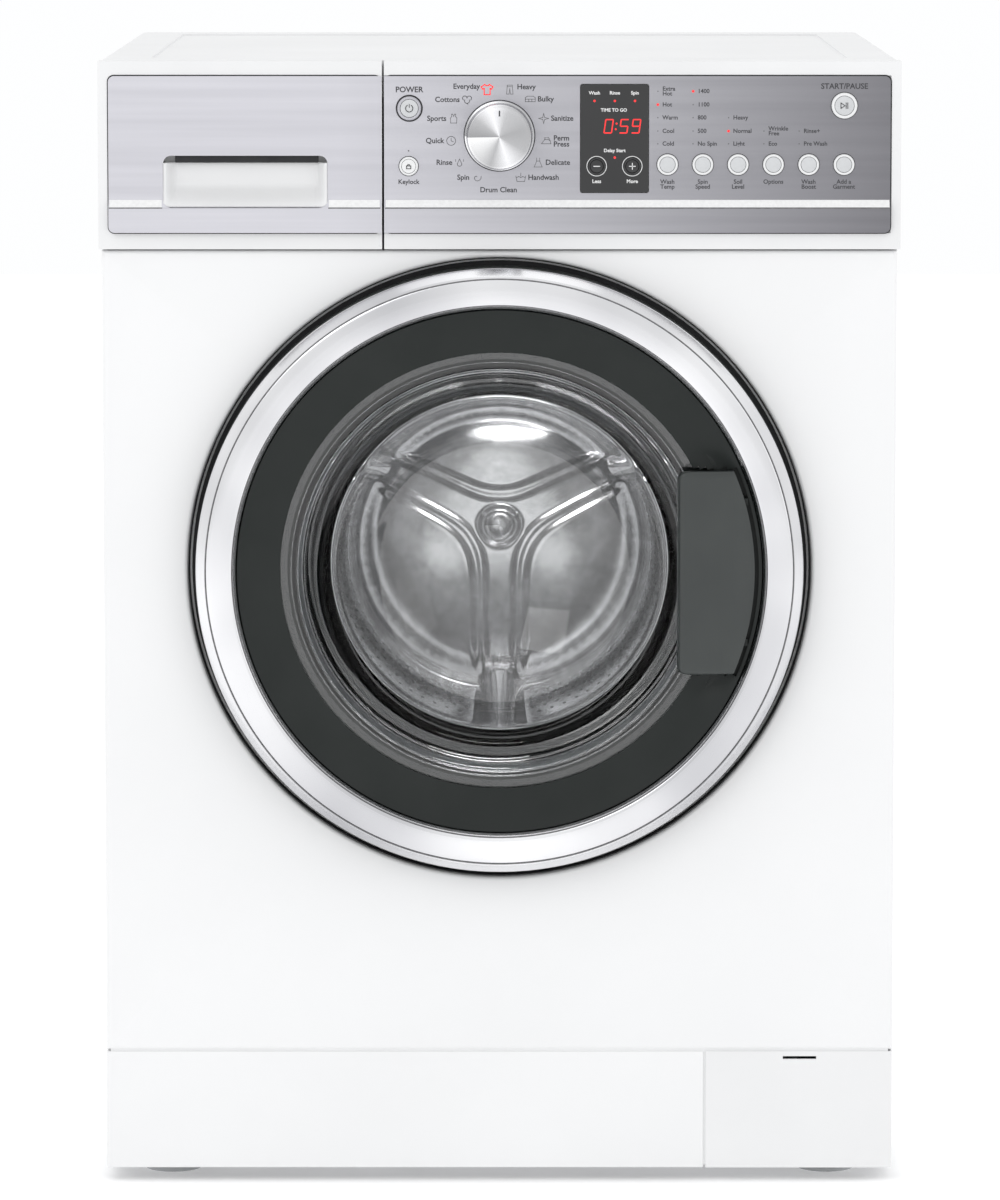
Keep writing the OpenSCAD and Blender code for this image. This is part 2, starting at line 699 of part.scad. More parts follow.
// Pressed lifter: a hollow hump on the inside of the shell
module hump(edge, skin) {
  polygon([[-36 + skin, -edge - 1], [-36 + skin, -edge + 12], [-14 + skin, -edge + 44 - skin],
    [0, -edge + 47 - skin], [14 - skin, -edge + 44 - skin], [36 - skin, -edge + 12],
    [36 - skin, -edge - 1]]);
}
module lifters() {
  edge = drum_r - drum_sheet;
  y0 = drum_y0 + 14;
  y1 = drum_y1 - 10;
  color("silver") for (i = [0 : lifter_count - 1]) translate([0, 0, axis_z])
    rotate([0, i * 360 / lifter_count, 0]) difference() {
      slab_y(y0, y1) intersection() {
        circle(edge);
        hump(edge, 0);
      }
      slab_y(y0 + 2, y1 - 2) hump(edge, 2);
    }
}
module drum_spider() {
  color("gray") union() {
    for (i = [0 : 2]) translate([0, 0, axis_z]) rotate([0, 90 + i * 120, 0])
      box(0, drum_r - drum_sheet - 6, drum_y1 + 2.5, drum_y1 + 14, -14, 14);
    ring(drum_y1 + 2.5, drum_y1 + 17, 40, 0);
    ring(drum_y1 + 2.5, tub_y1 + 42, shaft_r, 0);
    ring(drum_y1 + 2.5, tub_y1 + 56, 12, 0);
  }
}
module rotor() {
  y1 = tub_y1 + 48;
  color("silver") difference() {
    union() {
      lathe([[12.2, y1 - 5.5], [128, y1 - 5.5], [128, y1 - 40], [134, y1 - 40], [134, y1], [12.2, y1]]);
      ring(y1, y1 + 6, 20, 12.2);
    }
    for (a = [0 : 30 : 330]) translate([0, 0, axis_z]) rotate([0, a, 0])
      box(55, 105, y1 - 8, y1 + 1, -5, 5);
  }
}

// ---- Door seal ----
module door_seal() {
  y0 = recess_y;
  color("dimgray") lathe([[153, y0 + 4], [160, y0 + 1], [177.5, y0 + 1], [177.5, y0 + 14],
    [175.5, y0 + 26], [185, y0 + 35], [186, y0 + 46], [180, y0 + 54], [171, y0 + 56],
    [171, neck_y + 11], [168, neck_y + 11], [168, y0 + 59], [170, y0 + 52], [177, y0 + 49],
    [182, y0 + 44], [180, y0 + 38], [171.5, y0 + 29], [173, y0 + 12], [160, y0 + 8], [153, y0 + 8]]);
}

// ---- Door ----
module door_frame() {
  color("dimgray") difference() {
    union() {
      ring(ring_back, frame_back, frame_r, 178);
      ring(ring_back + 8.5, ring_back + 13, 179, 157);
      for (s = [-1, 1]) box(lever_x - 3.5, lever_x + 4, lever_y - 4, ring_back + 1,
        axis_z + s * 53 - 2.5, axis_z + s * 53 + 2.5);
    }
    // Notch for the hinge, pocket for the latch hook
    box(-frame_r - eps, -181, ring_back - eps, frame_back + eps, axis_z - 38, axis_z + 38);
    box(hook_x - 12, hook_x + 11, ring_back + 2, frame_back + eps, axis_z - 12, axis_z + 12);
  }
  color("silver") {
    rod_z(hook_x, hook_y, axis_z - 13, axis_z + 13, lever_pin_r - fit);
    rod_z(lever_x, lever_y, axis_z - 58, axis_z + 58, lever_pin_r - fit);
  }
}
module door_chrome_ring() {
  color("silver") lathe([[197, ring_back], [197, ring_y + 5], [200.5, ring_y], [220.6, ring_y + 0.5],
    [ring_r, ring_y + 9], [ring_r, ring_back], [ring_r - 2.5, ring_back], [ring_r - 2.5, ring_y + 10],
    [219.5, ring_y + 3], [201.5, ring_y + 2.5], [199.5, ring_y + 6], [199.5, ring_back]]);
}
module handle_zone(grow) {
  slab_y(ring_y - 6, ring_back + 4)
    rounded(133 - grow, 212, axis_z - handle_h / 2 - grow, axis_z + handle_h / 2 + grow, 6);
}
module door_inner_ring() {
  color("dimgray") difference() {
    lathe([[163, ring_back - 1.5], [inner_ring_r - gap, ring_y + 4.5], [inner_ring_r - gap, ring_back],
      [178, ring_back], [177, ring_back + 2.5], [163, ring_back + 2.5]]);
    intersection() {
      handle_zone(1);
      ring(ring_y - 8, ring_back + 5, 194, 0);
    }
  }
}
module door_glass() {
  color("lightblue") lathe([[0, ring_y + 122], [98, ring_y + 120], [109, ring_y + 114],
    [130, ring_y + 78], [146, ring_y + 31], [152, ring_y + 18], [154, ring_y + 16],
    [176, ring_y + 16], [176, ring_y + 20], [156, ring_y + 20], [bowl_r, ring_y + 33],
    [134, ring_y + 80], [116, ring_y + 116], [106, ring_y + 124], [0, ring_y + 126]]);
}
module hinge_bracket() {
  plate_y = recess_y - 3;
  color("silver") union() {
    box(hinge_x + 7, -180, plate_y, recess_y, axis_z - 35, axis_z + 35);
    for (s = [-1, 1]) translate([0, 0, axis_z + s * 29 - 5]) linear_extrude(10) difference() {
      union() {
        polygon([[hinge_x + 1, hinge_y - 4], [hinge_x + 28, recess_y - 2], [hinge_x + 17, recess_y - 2],
          [hinge_x - 4, hinge_y + 1]]);
        translate([hinge_x, hinge_y]) circle(5.5);
      }
    }
    rod_z(hinge_x, hinge_y, axis_z - 34, axis_z + 34, pin_r - fit);
  }
}
module hinge_arm() {
  color("silver") difference() {
    union() {
      rod_z(hinge_x, hinge_y, axis_z - 23, axis_z + 23, 5.5);
      box(hinge_x, -181, hinge_y + 1, frame_back - 1, axis_z - 20, axis_z + 20);
      box(-188, -162, frame_back - 1, frame_back + 2, axis_z - 20, axis_z + 20);
    }
    rod_z(hinge_x, hinge_y, axis_z - 24, axis_z + 24, pin_r);
    ring(frame_back - 2, frame_back - 0.001, 182, 100);
  }
}
module door_handle() {
  color("dimgray") difference() {
    intersection() {
      translate([0, 0, axis_z - handle_h / 2]) linear_extrude(handle_h)
        polygon([[133, ring_y + 1], [134, ring_y - 2], [137, ring_y - 4], [158, ring_y - 3.5],
          [176, ring_y - 0.5], [188, ring_y + 3.5], [191, ring_y + 5.5], [191, ring_y + 9],
          [187, ring_back - 1], [178, ring_back - 0.5], [172, ring_y + 9], [158, ring_y + 5],
          [137, ring_y + 3]]);
      handle_zone(0);
      ring(ring_y - 10, ring_back + 5, 191.5, 0);
    }
    for (s = [-1, 1]) box(lever_x - 9, 200, ring_y - 0.2, ring_back + 1, axis_z + s * 53 - 3,
      axis_z + s * 53 + 3);
    rod_z(lever_x, lever_y, axis_z - 80, axis_z + 80, lever_pin_r);
  }
}
module latch_hook() {
  color("silver") difference() {
    union() {
      rod_z(hook_x, hook_y, axis_z - 7, axis_z + 7, 4.5);
      box(hook_x - 3, hook_x + 3, hook_y, recess_y + 18, axis_z - 7, axis_z + 7);
      box(hook_x, hook_x + 8, recess_y + 12, recess_y + 18, axis_z - 7, axis_z + 7);
    }
    rod_z(hook_x, hook_y, axis_z - 8, axis_z + 8, lever_pin_r);
  }
}
module door_lock() {
  y0 = recess_y + sheet;
  color("whitesmoke") difference() {
    box(hook_x - 16, hook_x + 26, y0, y0 + 32, axis_z - 32, axis_z + 32);
    box(hook_x - 12, hook_x + 15, y0 - eps, y0 + 24, axis_z - 12, axis_z + 12);
  }
}

side_panel_left();
side_panel_right();
rear_panel();
rear_cover();
worktop();
front_panel();
base_tray();
kick_panel();
top_rails();
console_housing();
console_fascia();
display_window();
control_board();
dispenser_housing();
inlet_valve();
drain_pump();
drain_hose();
door_lock();
hinge_bracket();
damper_cylinders();
suspension_springs();
door_seal();
sump_hose();
fill_hose();
filter_flap();
pump_filter();
levelling_feet();
program_knob();
power_button();
keylock_button();
wash_temp_button();
spin_speed_button();
soil_level_button();
options_button();
wash_boost_button();
add_garment_button();
start_button();
delay_less_button();
delay_more_button();
drawer_front();
drawer_tray();
tub_front();
tub_rear();
counterweights();
heater();
stator();
bearings();
damper_rods();
drum_shell();
drum_back();
lifters();
drum_spider();
rotor();
door_frame();
door_chrome_ring();
door_inner_ring();
door_glass();
hinge_arm();
door_handle();
latch_hook();
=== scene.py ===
"""Looks of the front load washing machine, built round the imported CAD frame. Metres, front towards -Y."""

import json
import math

import bmesh
import bpy
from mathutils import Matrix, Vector


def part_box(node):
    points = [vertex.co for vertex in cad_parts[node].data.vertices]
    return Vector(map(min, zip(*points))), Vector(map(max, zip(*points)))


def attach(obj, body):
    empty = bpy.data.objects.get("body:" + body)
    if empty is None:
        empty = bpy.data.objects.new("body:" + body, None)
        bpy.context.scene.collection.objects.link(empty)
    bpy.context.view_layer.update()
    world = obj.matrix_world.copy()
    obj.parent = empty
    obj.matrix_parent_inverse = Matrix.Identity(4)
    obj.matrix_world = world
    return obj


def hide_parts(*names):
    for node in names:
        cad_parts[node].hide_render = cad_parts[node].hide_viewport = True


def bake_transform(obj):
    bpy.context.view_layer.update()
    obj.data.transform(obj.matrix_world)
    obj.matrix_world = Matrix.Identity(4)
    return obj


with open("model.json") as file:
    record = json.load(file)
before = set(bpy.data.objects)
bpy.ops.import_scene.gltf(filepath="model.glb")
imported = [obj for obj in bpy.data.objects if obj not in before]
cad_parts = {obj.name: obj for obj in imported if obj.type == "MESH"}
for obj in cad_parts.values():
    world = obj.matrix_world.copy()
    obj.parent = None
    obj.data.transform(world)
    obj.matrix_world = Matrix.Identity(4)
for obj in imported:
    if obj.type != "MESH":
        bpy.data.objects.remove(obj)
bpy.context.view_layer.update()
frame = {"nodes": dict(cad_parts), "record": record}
nodes = frame["nodes"]
MM = 0.001


# ---- Places read from the frame, in millimetres ----
def low(node):
    return [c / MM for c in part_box(node)[0]]


def high(node):
    return [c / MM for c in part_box(node)[1]]


def middle(node):
    return [(a + b) / 2 for a, b in zip(low(node), high(node))]


AXIS_Z = middle("door_chrome_ring")[2]
FRONT_Y = low("front_panel")[1]
RING_Y = low("door_chrome_ring")[1]
RING_BACK = high("door_chrome_ring")[1]
RING_R = high("door_chrome_ring")[0]
SKIN_Y = low("console_fascia")[1] + 3
BODY_X = high("front_panel")[0]
KNOB = middle("program_knob")
KNOB_FRONT = low("program_knob")[1]
DRUM_R = high("drum_shell")[0]
DRUM_FRONT = low("drum_shell")[1] + 6
DRUM_BACK = high("drum_shell")[1] - 2


# ---- Meshes ----
def mesh_object(name, verts, faces, material, at=(0, 0, 0), smooth=True):
    """New object from points in millimetres about a centre, which becomes its origin."""
    mesh = bpy.data.meshes.new(name)
    mesh.from_pydata([[c * MM for c in v] for v in verts], [], faces)
    mesh.validate()
    obj = bpy.data.objects.new(name, mesh)
    obj.location = [c * MM for c in at]
    bpy.context.scene.collection.objects.link(obj)
    obj.data.materials.append(material)
    if smooth:
        mesh.polygons.foreach_set("use_smooth", [True] * len(mesh.polygons))
    tidy_normals(obj)
    return obj


def tidy_normals(obj):
    bm = bmesh.new()
    bm.from_mesh(obj.data)
    bmesh.ops.remove_doubles(bm, verts=bm.verts, dist=1e-6)
    bmesh.ops.recalc_face_normals(bm, faces=bm.faces)
    bm.to_mesh(obj.data)
    bm.free()


def sharpen(obj, angle=35):
    """Shading breaks at edges steeper than the angle."""
    bm = bmesh.new()
    bm.from_mesh(obj.data)
    for e in bm.edges:
        e.smooth = len(e.link_faces) != 2 or e.calc_face_angle(0) < math.radians(angle)
    for f in bm.faces:
        f.smooth = True
    bm.to_mesh(obj.data)
    bm.free()


def bevel(obj, width, segments=3, angle=30):
    """Round the edges of a piece, with the modifier applied."""
    m = obj.modifiers.new("round", "BEVEL")
    m.width = width * MM
    m.segments = segments
    m.limit_method = "ANGLE"
    m.angle_limit = math.radians(angle)
    apply_modifiers(obj)
    sharpen(obj, 40)
    flat = obj.modifiers.new("flat", "WEIGHTED_NORMAL")
    flat.keep_sharp = True
    flat.weight = 100
    apply_modifiers(obj)


def apply_modifiers(obj):
    graph = bpy.context.evaluated_depsgraph_get()
    mesh = bpy.data.meshes.new_from_object(obj.evaluated_get(graph))
    obj.modifiers.clear()
    obj.data = mesh


def thicken(obj, thickness, side):
    solid = obj.modifiers.new("thick", "SOLIDIFY")
    solid.thickness = thickness * MM
    solid.offset = side
    apply_modifiers(obj)


def join(name, parts):
    """One object from several, all about the first one's origin."""
    base = parts[0]
    bpy.ops.object.select_all(action="DESELECT")
    for p in parts:
        p.select_set(True)
    bpy.context.view_layer.objects.active = base
    bpy.ops.object.join()
    base.name = name
    return base


def place(obj, body, slot, *replaced):
    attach(obj, body)
    if replaced:
        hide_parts(*replaced)
    return obj


def grid_faces(rows, cols, closed=True):
    faces = []
    for i in range(rows - 1):
        for j in range(cols if closed else cols - 1):
            k = (j + 1) % cols
            faces.append((i * cols + j, i * cols + k, (i + 1) * cols + k, (i + 1) * cols + j))
    return faces


def fillet(points, radius, steps=5):
    """Outline with each given corner rounded; a point may carry its own radius."""
    out = []
    n = len(points)
    for i, p in enumerate(points):
        r = p[2] if len(p) > 2 else radius
        a, b, c = Vector(points[i - 1][:2]), Vector(p[:2]), Vector(points[(i + 1) % n][:2])
        d0, d1 = (a - b), (c - b)
        cut = min(r, d0.length * 0.45, d1.length * 0.45)
        if cut < 0.05:
            out.append(tuple(b))
            continue
        p0, p1 = b + d0.normalized() * cut, b + d1.normalized() * cut
        for k in range(steps + 1):
            t = k / steps
            out.append(tuple((1 - t) ** 2 * p0 + 2 * t * (1 - t) * b + t * t * p1))
    return out


def lathe(name, outline, material, steps=192, closed=True, at=(0, 0, None), radius=1.0):
    """Outline of (radius, y) turned about an axis along Y. The origin sits on the axis."""
    pts = fillet(outline, radius) if closed else outline
    verts = []
    for r, y in pts:
        for j in range(steps):
            a = 2 * math.pi * j / steps
            verts.append((r * math.cos(a), y, r * math.sin(a)))
    rows = len(pts)
    faces = grid_faces(rows, steps)
    if closed:
        last = (rows - 1) * steps
        for j in range(steps):
            k = (j + 1) % steps
            faces.append((last + j, last + k, k, j))
    z = AXIS_Z if at[2] is None else at[2]
    return mesh_object(name, verts, faces, material, (at[0], at[1], z))


def prism(name, outline, y0, y1, material, at=(0, 0, 0), round_edge=0.0):
    """Outline of (x, z) filled and given thickness from y0 to y1."""
    n = len(outline)
    verts = [(x, y0, z) for x, z in outline] + [(x, y1, z) for x, z in outline]
    faces = [tuple(range(n - 1, -1, -1)), tuple(range(n, 2 * n))]
    faces += [(j, (j + 1) % n, n + (j + 1) % n, n + j) for j in range(n)]
    obj = mesh_object(name, verts, faces, material, at, smooth=False)
    if round_edge:
        bevel(obj, round_edge, 2)
    return obj


def rounded_rect(x0, x1, z0, z1, r, steps=6):
    out = []
    corners = [(x1 - r, z1 - r, 0), (x0 + r, z1 - r, 90), (x0 + r, z0 + r, 180), (x1 - r, z0 + r, 270)]
    for cx, cz, start in corners:
        for k in range(steps + 1):
            a = math.radians(start + 90 * k / steps)
            out.append((cx + r * math.cos(a), cz + r * math.sin(a)))
    return out


def disc(cx, cz, r, steps=32):
    return [(cx + r * math.cos(2 * math.pi * k / steps), cz + r * math.sin(2 * math.pi * k / steps))
            for k in range(steps)]


def refined(name, node, material, width=1.0, segments=3):
    """Copy of a CAD node with rounded edges, which stands for it."""
    obj = bpy.data.objects.new(name, nodes[node].data.copy())
    bpy.context.scene.collection.objects.link(obj)
    obj.data.materials.clear()
    obj.data.materials.append(material)
    bm = bmesh.new()
    bm.from_mesh(obj.data)
    bmesh.ops.remove_doubles(bm, verts=bm.verts, dist=2e-6)
    bmesh.ops.dissolve_limit(bm, angle_limit=math.radians(1), verts=bm.verts, edges=bm.edges)
    bm.to_mesh(obj.data)
    bm.free()
    bevel(obj, width, segments, 50)
    slot = next(s["material_slot"] for s in frame["record"]["subparts"] if s["node"] == node)
    body = next(b for b, ns in frame["record"]["behaviour"]["bodies"].items() if node in ns)
    return place(obj, body, slot, node)


# ---- Materials ----
def material(name, colour, roughness, metallic=0.0, **sockets):
    m = bpy.data.materials.new(name)
    m.use_nodes = True
    shader = m.node_tree.nodes["Principled BSDF"]
    shader.inputs["Base Color"].default_value = (*colour, 1)
    shader.inputs["Roughness"].default_value = roughness
    shader.inputs["Metallic"].default_value = metallic
    for key, value in sockets.items():
        shader.inputs[key.replace("_", " ")].default_value = value
    return m


def add(m, kind, **values):
    node = m.node_tree.nodes.new(kind)
    for key, value in values.items():
        if hasattr(node, key):
            setattr(node, key, value)
        else:
            node.inputs[key.replace("_", " ")].default_value = value
    return node


def wire(m, a, b):
    m.node_tree.links.new(a, b)


def shader_of(m):
    return m.node_tree.nodes["Principled BSDF"]


def coordinates(m, stretch):
    where = add(m, "ShaderNodeTexCoord")
    mapping = add(m, "ShaderNodeMapping")
    mapping.inputs["Scale"].default_value = stretch
    wire(m, where.outputs["Object"], mapping.inputs["Vector"])
    return mapping.outputs["Vector"]


def vary(m, scale, colours, rough, stretch=(1, 1, 1), detail=3.0):
    """Colour and roughness wander gently over the surface."""
    noise = add(m, "ShaderNodeTexNoise", Scale=scale, Detail=detail)
    wire(m, coordinates(m, stretch), noise.inputs["Vector"])
    ramp = add(m, "ShaderNodeValToRGB")
    ramp.color_ramp.elements[0].position = 0.3
    ramp.color_ramp.elements[1].position = 0.7
    ramp.color_ramp.elements[0].color = (*colours[0], 1)
    ramp.color_ramp.elements[1].color = (*colours[1], 1)
    wire(m, noise.outputs["Fac"], ramp.inputs["Fac"])
    wire(m, ramp.outputs["Color"], shader_of(m).inputs["Base Color"])
    spread = add(m, "ShaderNodeMapRange")
    spread.inputs["To Min"].default_value = rough[0]
    spread.inputs["To Max"].default_value = rough[1]
    wire(m, noise.outputs["Fac"], spread.inputs["Value"])
    wire(m, spread.outputs["Result"], shader_of(m).inputs["Roughness"])


def painted_reflection_fade(m, axis, start, end, first, last):
    """Tint the colour from first to last along one axis of the piece; it paints a reflection that fades across
    the silver skin.
    """
    split = add(m, "ShaderNodeSeparateXYZ")
    wire(m, coordinates(m, (1, 1, 1)), split.inputs["Vector"])
    reach = add(m, "ShaderNodeMapRange")
    reach.inputs["From Min"].default_value = start
    reach.inputs["From Max"].default_value = end
    wire(m, split.outputs[axis], reach.inputs["Value"])
    ramp = add(m, "ShaderNodeMix", data_type="RGBA")
    ramp.inputs[6].default_value = (*first, 1)
    ramp.inputs[7].default_value = (*last, 1)
    wire(m, reach.outputs["Result"], ramp.inputs[0])
    tint = add(m, "ShaderNodeMix", data_type="RGBA", blend_type="MULTIPLY")
    tint.inputs[0].default_value = 1
    base = shader_of(m).inputs["Base Color"]
    wire(m, base.links[0].from_socket, tint.inputs[6])
    wire(m, ramp.outputs[2], tint.inputs[7])
    wire(m, tint.outputs[2], base)


def bump(m, scale, strength, distance, stretch=(1, 1, 1), detail=2.0):
    noise = add(m, "ShaderNodeTexNoise", Scale=scale, Detail=detail)
    wire(m, coordinates(m, stretch), noise.inputs["Vector"])
    node = add(m, "ShaderNodeBump", Strength=strength, Distance=distance)
    wire(m, noise.outputs["Fac"], node.inputs["Height"])
    wire(m, node.outputs["Normal"], shader_of(m).inputs["Normal"])


def wandering(name, metallic, spread, relief=None, **sockets):
    """Material whose colour and roughness wander, with a fine relief. spread and relief go to vary and bump."""
    m = material(name, spread[1][0], spread[2][0], metallic, **sockets)
    vary(m, *spread)
    if relief:
        bump(m, *relief)
    return m


def turned_metal_painted_glints():
    m = material("turned_aluminium", (0.74, 0.74, 0.76), 0.26, 1.0, Anisotropic=0.85)
    tangent = add(m, "ShaderNodeTangent", direction_type="RADIAL", axis="Y")
    wire(m, tangent.outputs["Tangent"], shader_of(m).inputs["Tangent"])
    turn = add(m, "ShaderNodeMapping")
    turn.inputs["Rotation"].default_value = (math.pi / 2, 0, 0)
    wire(m, coordinates(m, (1, 1, 1)), turn.inputs["Vector"])
    # Painted highlights: a fan of bright and dark sectors round the axis stands for the cone-shaped glints of
    # turned metal on the knob and drum hub; it turns with the piece.
    glint_fan = add(m, "ShaderNodeTexGradient", gradient_type="RADIAL")
    wire(m, turn.outputs["Vector"], glint_fan.inputs["Vector"])
    ramp = add(m, "ShaderNodeValToRGB")
    painted_glint_stops = [(0, 0.36), (0.1, 0.5), (0.2, 0.95), (0.3, 0.55), (0.45, 0.42), (0.58, 0.5), (0.7, 0.98),
              (0.8, 0.5), (1, 0.36)]
    for k, (where, shade) in enumerate(painted_glint_stops):
        stop = ramp.color_ramp.elements[0] if k == 0 else ramp.color_ramp.elements.new(where)
        stop.position = where
        stop.color = (shade, shade, shade * 1.02, 1)
    wire(m, glint_fan.outputs["Fac"], ramp.inputs["Fac"])
    wire(m, ramp.outputs["Color"], shader_of(m).inputs["Base Color"])
    rings = add(m, "ShaderNodeTexWave", wave_type="RINGS", rings_direction="Y", Scale=700.0,
                Distortion=0.6, Detail=2.0)
    wire(m, coordinates(m, (1, 1, 1)), rings.inputs["Vector"])
    node = add(m, "ShaderNodeBump", Strength=0.06, Distance=0.0001)
    wire(m, rings.outputs["Fac"], node.inputs["Height"])
    wire(m, node.outputs["Normal"], shader_of(m).inputs["Normal"])
    return m


def clear_glass():
    """Smooth glass that lets lamps through, so that the drum behind it is lit."""
    m = material("clear_glass", (0.97, 0.98, 0.98), 0.01, Transmission_Weight=1.0, IOR=1.65,
                 Specular_IOR_Level=0.2)
    tree = m.node_tree
    clear = add(m, "ShaderNodeBsdfTransparent")
    clear.inputs["Color"].default_value = (0.95, 0.97, 0.97, 1)
    mix = add(m, "ShaderNodeMixShader")
    path = add(m, "ShaderNodeLightPath")
    wire(m, path.outputs["Is Shadow Ray"], mix.inputs["Fac"])
    wire(m, shader_of(m).outputs["BSDF"], mix.inputs[1])
    wire(m, clear.outputs["BSDF"], mix.inputs[2])
    wire(m, mix.outputs["Shader"], tree.nodes["Material Output"].inputs["Surface"])
    return m


MATERIALS = {m.name.split(".")[0]: m for m in (
    wandering("white_enamel", 0, (6, [(0.81, 0.812, 0.815), (0.835, 0.837, 0.84)], (0.27, 0.34)),
              (900, 0.05, 0.0002), Coat_Weight=0.25, Coat_Roughness=0.12),
    wandering("white_plastic", 0, (9, [(0.76, 0.762, 0.765), (0.8, 0.802, 0.805)], (0.34, 0.43)),
              (2200, 0.08, 0.0001)),
    wandering("chrome", 1.0, (5.5, [(0.5, 0.5, 0.52), (0.93, 0.93, 0.94)], (0.12, 0.2), (1, 1, 1), 2.0)),
    wandering("dark_plastic", 0, (14, [(0.011, 0.014, 0.013), (0.017, 0.020, 0.019)], (0.36, 0.46)),
              (1800, 0.06, 0.0001), Specular_IOR_Level=0.25),
    # Painted light: a lighter copy of the dark plastic for the handle, which stands forward and catches light;
    # its coat is glossier too.
    wandering("handle_plastic_painted_lighter", 0, (14, [(0.022, 0.027, 0.026), (0.032, 0.038, 0.036)], (0.27, 0.36)),
              (1800, 0.06, 0.0001), Coat_Weight=0.2, Coat_Roughness=0.2),
    wandering("black_window", 0, (20, [(0.003, 0.003, 0.004), (0.007, 0.007, 0.008)], (0.06, 0.12)), None,
              Coat_Weight=0.6, Coat_Roughness=0.03),
    # Painted shade: near-black material laid in gaps, slots and hollows where shadow falls.
    wandering("shadow_gap", 0, (60, [(0.015, 0.015, 0.017), (0.03, 0.03, 0.032)], (0.6, 0.8))),
    wandering("stainless", 1.0, (60, [(0.6, 0.6, 0.61), (0.76, 0.76, 0.77)], (0.15, 0.24), (1, 0.05, 1), 4),
              (500, 0.03, 0.0001, (1, 0.05, 1))),
    wandering("zinc_steel", 0.9, (35, [(0.45, 0.46, 0.48), (0.6, 0.61, 0.63)], (0.3, 0.48)),
              (300, 0.05, 0.0002)),
    wandering("cast_alloy", 0.85, (50, [(0.38, 0.39, 0.4), (0.5, 0.51, 0.52)], (0.42, 0.6)),
              (700, 0.2, 0.0003)),
    wandering("grey_rubber", 0, (30, [(0.17, 0.18, 0.19), (0.23, 0.24, 0.25)], (0.55, 0.7)),
              (900, 0.12, 0.0002), Sheen_Weight=0.15),
    wandering("tub_plastic", 0, (20, [(0.47, 0.48, 0.49), (0.56, 0.57, 0.58)], (0.5, 0.62)),
              (500, 0.15, 0.0003)),
    wandering("tray_plastic", 0, (22, [(0.75, 0.76, 0.77), (0.81, 0.82, 0.83)], (0.38, 0.48)),
              (1500, 0.08, 0.0001), Subsurface_Weight=0.05),
    wandering("concrete", 0, (70, [(0.2, 0.195, 0.18), (0.38, 0.37, 0.345)], (0.8, 0.95), (1, 1, 1), 8),
              (220, 0.6, 0.001, (1, 1, 1), 6)),
    wandering("copper_winding", 0.7,
              (90, [(0.38, 0.14, 0.05), (0.58, 0.26, 0.11)], (0.25, 0.4), (1, 20, 1)),
              (600, 0.5, 0.0004, (1, 8, 1))),
    wandering("circuit_board", 0, (160, [(0.015, 0.1, 0.04), (0.03, 0.17, 0.08)], (0.3, 0.5))),
    wandering("print_ink", 0, (400, [(0.03, 0.03, 0.035), (0.05, 0.05, 0.055)], (0.45, 0.55))),
    wandering("white_ink", 0, (400, [(0.78, 0.78, 0.78), (0.86, 0.86, 0.86)], (0.45, 0.55))),
    wandering("red_light", 0, (300, [(0.5, 0.01, 0.01), (0.7, 0.02, 0.02)], (0.25, 0.35)), None,
              Emission_Color=(1.0, 0.03, 0.03, 1), Emission_Strength=0.75),
    wandering("unlit_led", 0, (300, [(0.13, 0.13, 0.135), (0.2, 0.2, 0.205)], (0.2, 0.3))),
    wandering("button_grey", 0.15, (60, [(0.56, 0.57, 0.58), (0.64, 0.65, 0.66)], (0.3, 0.42))),
    wandering("silver_skin", 0.6,
              (40, [(0.42, 0.42, 0.44), (0.48, 0.48, 0.5)], (0.3, 0.38), (0.06, 1, 3), 4),
              (700, 0.03, 0.0001, (0.03, 1, 1))),
    turned_metal_painted_glints(), clear_glass())}
# Painted reflection: the silver skin is brightened at the left and darkened towards the right.
painted_reflection_fade(MATERIALS["silver_skin"], 0, -0.12, 0.3, (1.35, 1.34, 1.37), (0.42, 0.415, 0.43))
PAINTED_SHADE, INK, WHITE_INK, RED, UNLIT, BUTTON_GREY, HANDLE_PAINTED_LIGHT, SILVER, WHITE, BLACK, STEEL, ENAMEL, DARK = (
    MATERIALS[m] for m in ("shadow_gap", "print_ink", "white_ink", "red_light", "unlit_led", "button_grey",
                           "handle_plastic_painted_lighter", "silver_skin", "white_plastic", "black_window", "stainless",
                           "white_enamel", "dark_plastic"))

for part in frame["record"]["subparts"]:
    mesh = nodes[part["node"]].data
    mesh.materials.clear()
    mesh.materials.append(MATERIALS[part["material_slot"]])


# ---- Camera, floor and light ----
def camera():
    """Stands in front, a little above the worktop, and looks slightly down."""
    distance, height, down, shift = 4.8, 1.047, 6.05, -0.103
    data = bpy.data.cameras.new("camera")
    data.sensor_width = 36
    data.lens = 192.7
    data.shift_y = shift
    cam = bpy.data.objects.new("camera", data)
    cam.location = (0.0004, FRONT_Y * MM - distance, height)
    cam.rotation_euler = (math.radians(90 - down), 0, 0)
    bpy.context.scene.collection.objects.link(cam)
    bpy.context.scene.camera = cam


def lamp(name, at, aim, size, power, colour=(1, 1, 1)):
    data = bpy.data.lights.new(name, "AREA")
    data.shape = "RECTANGLE"
    data.size, data.size_y = size
    data.energy = power
    data.color = colour
    obj = bpy.data.objects.new(name, data)
    obj.location = at
    obj.rotation_euler = (Vector(aim) - Vector(at)).to_track_quat("-Z", "Y").to_euler()
    bpy.context.scene.collection.objects.link(obj)
    return obj


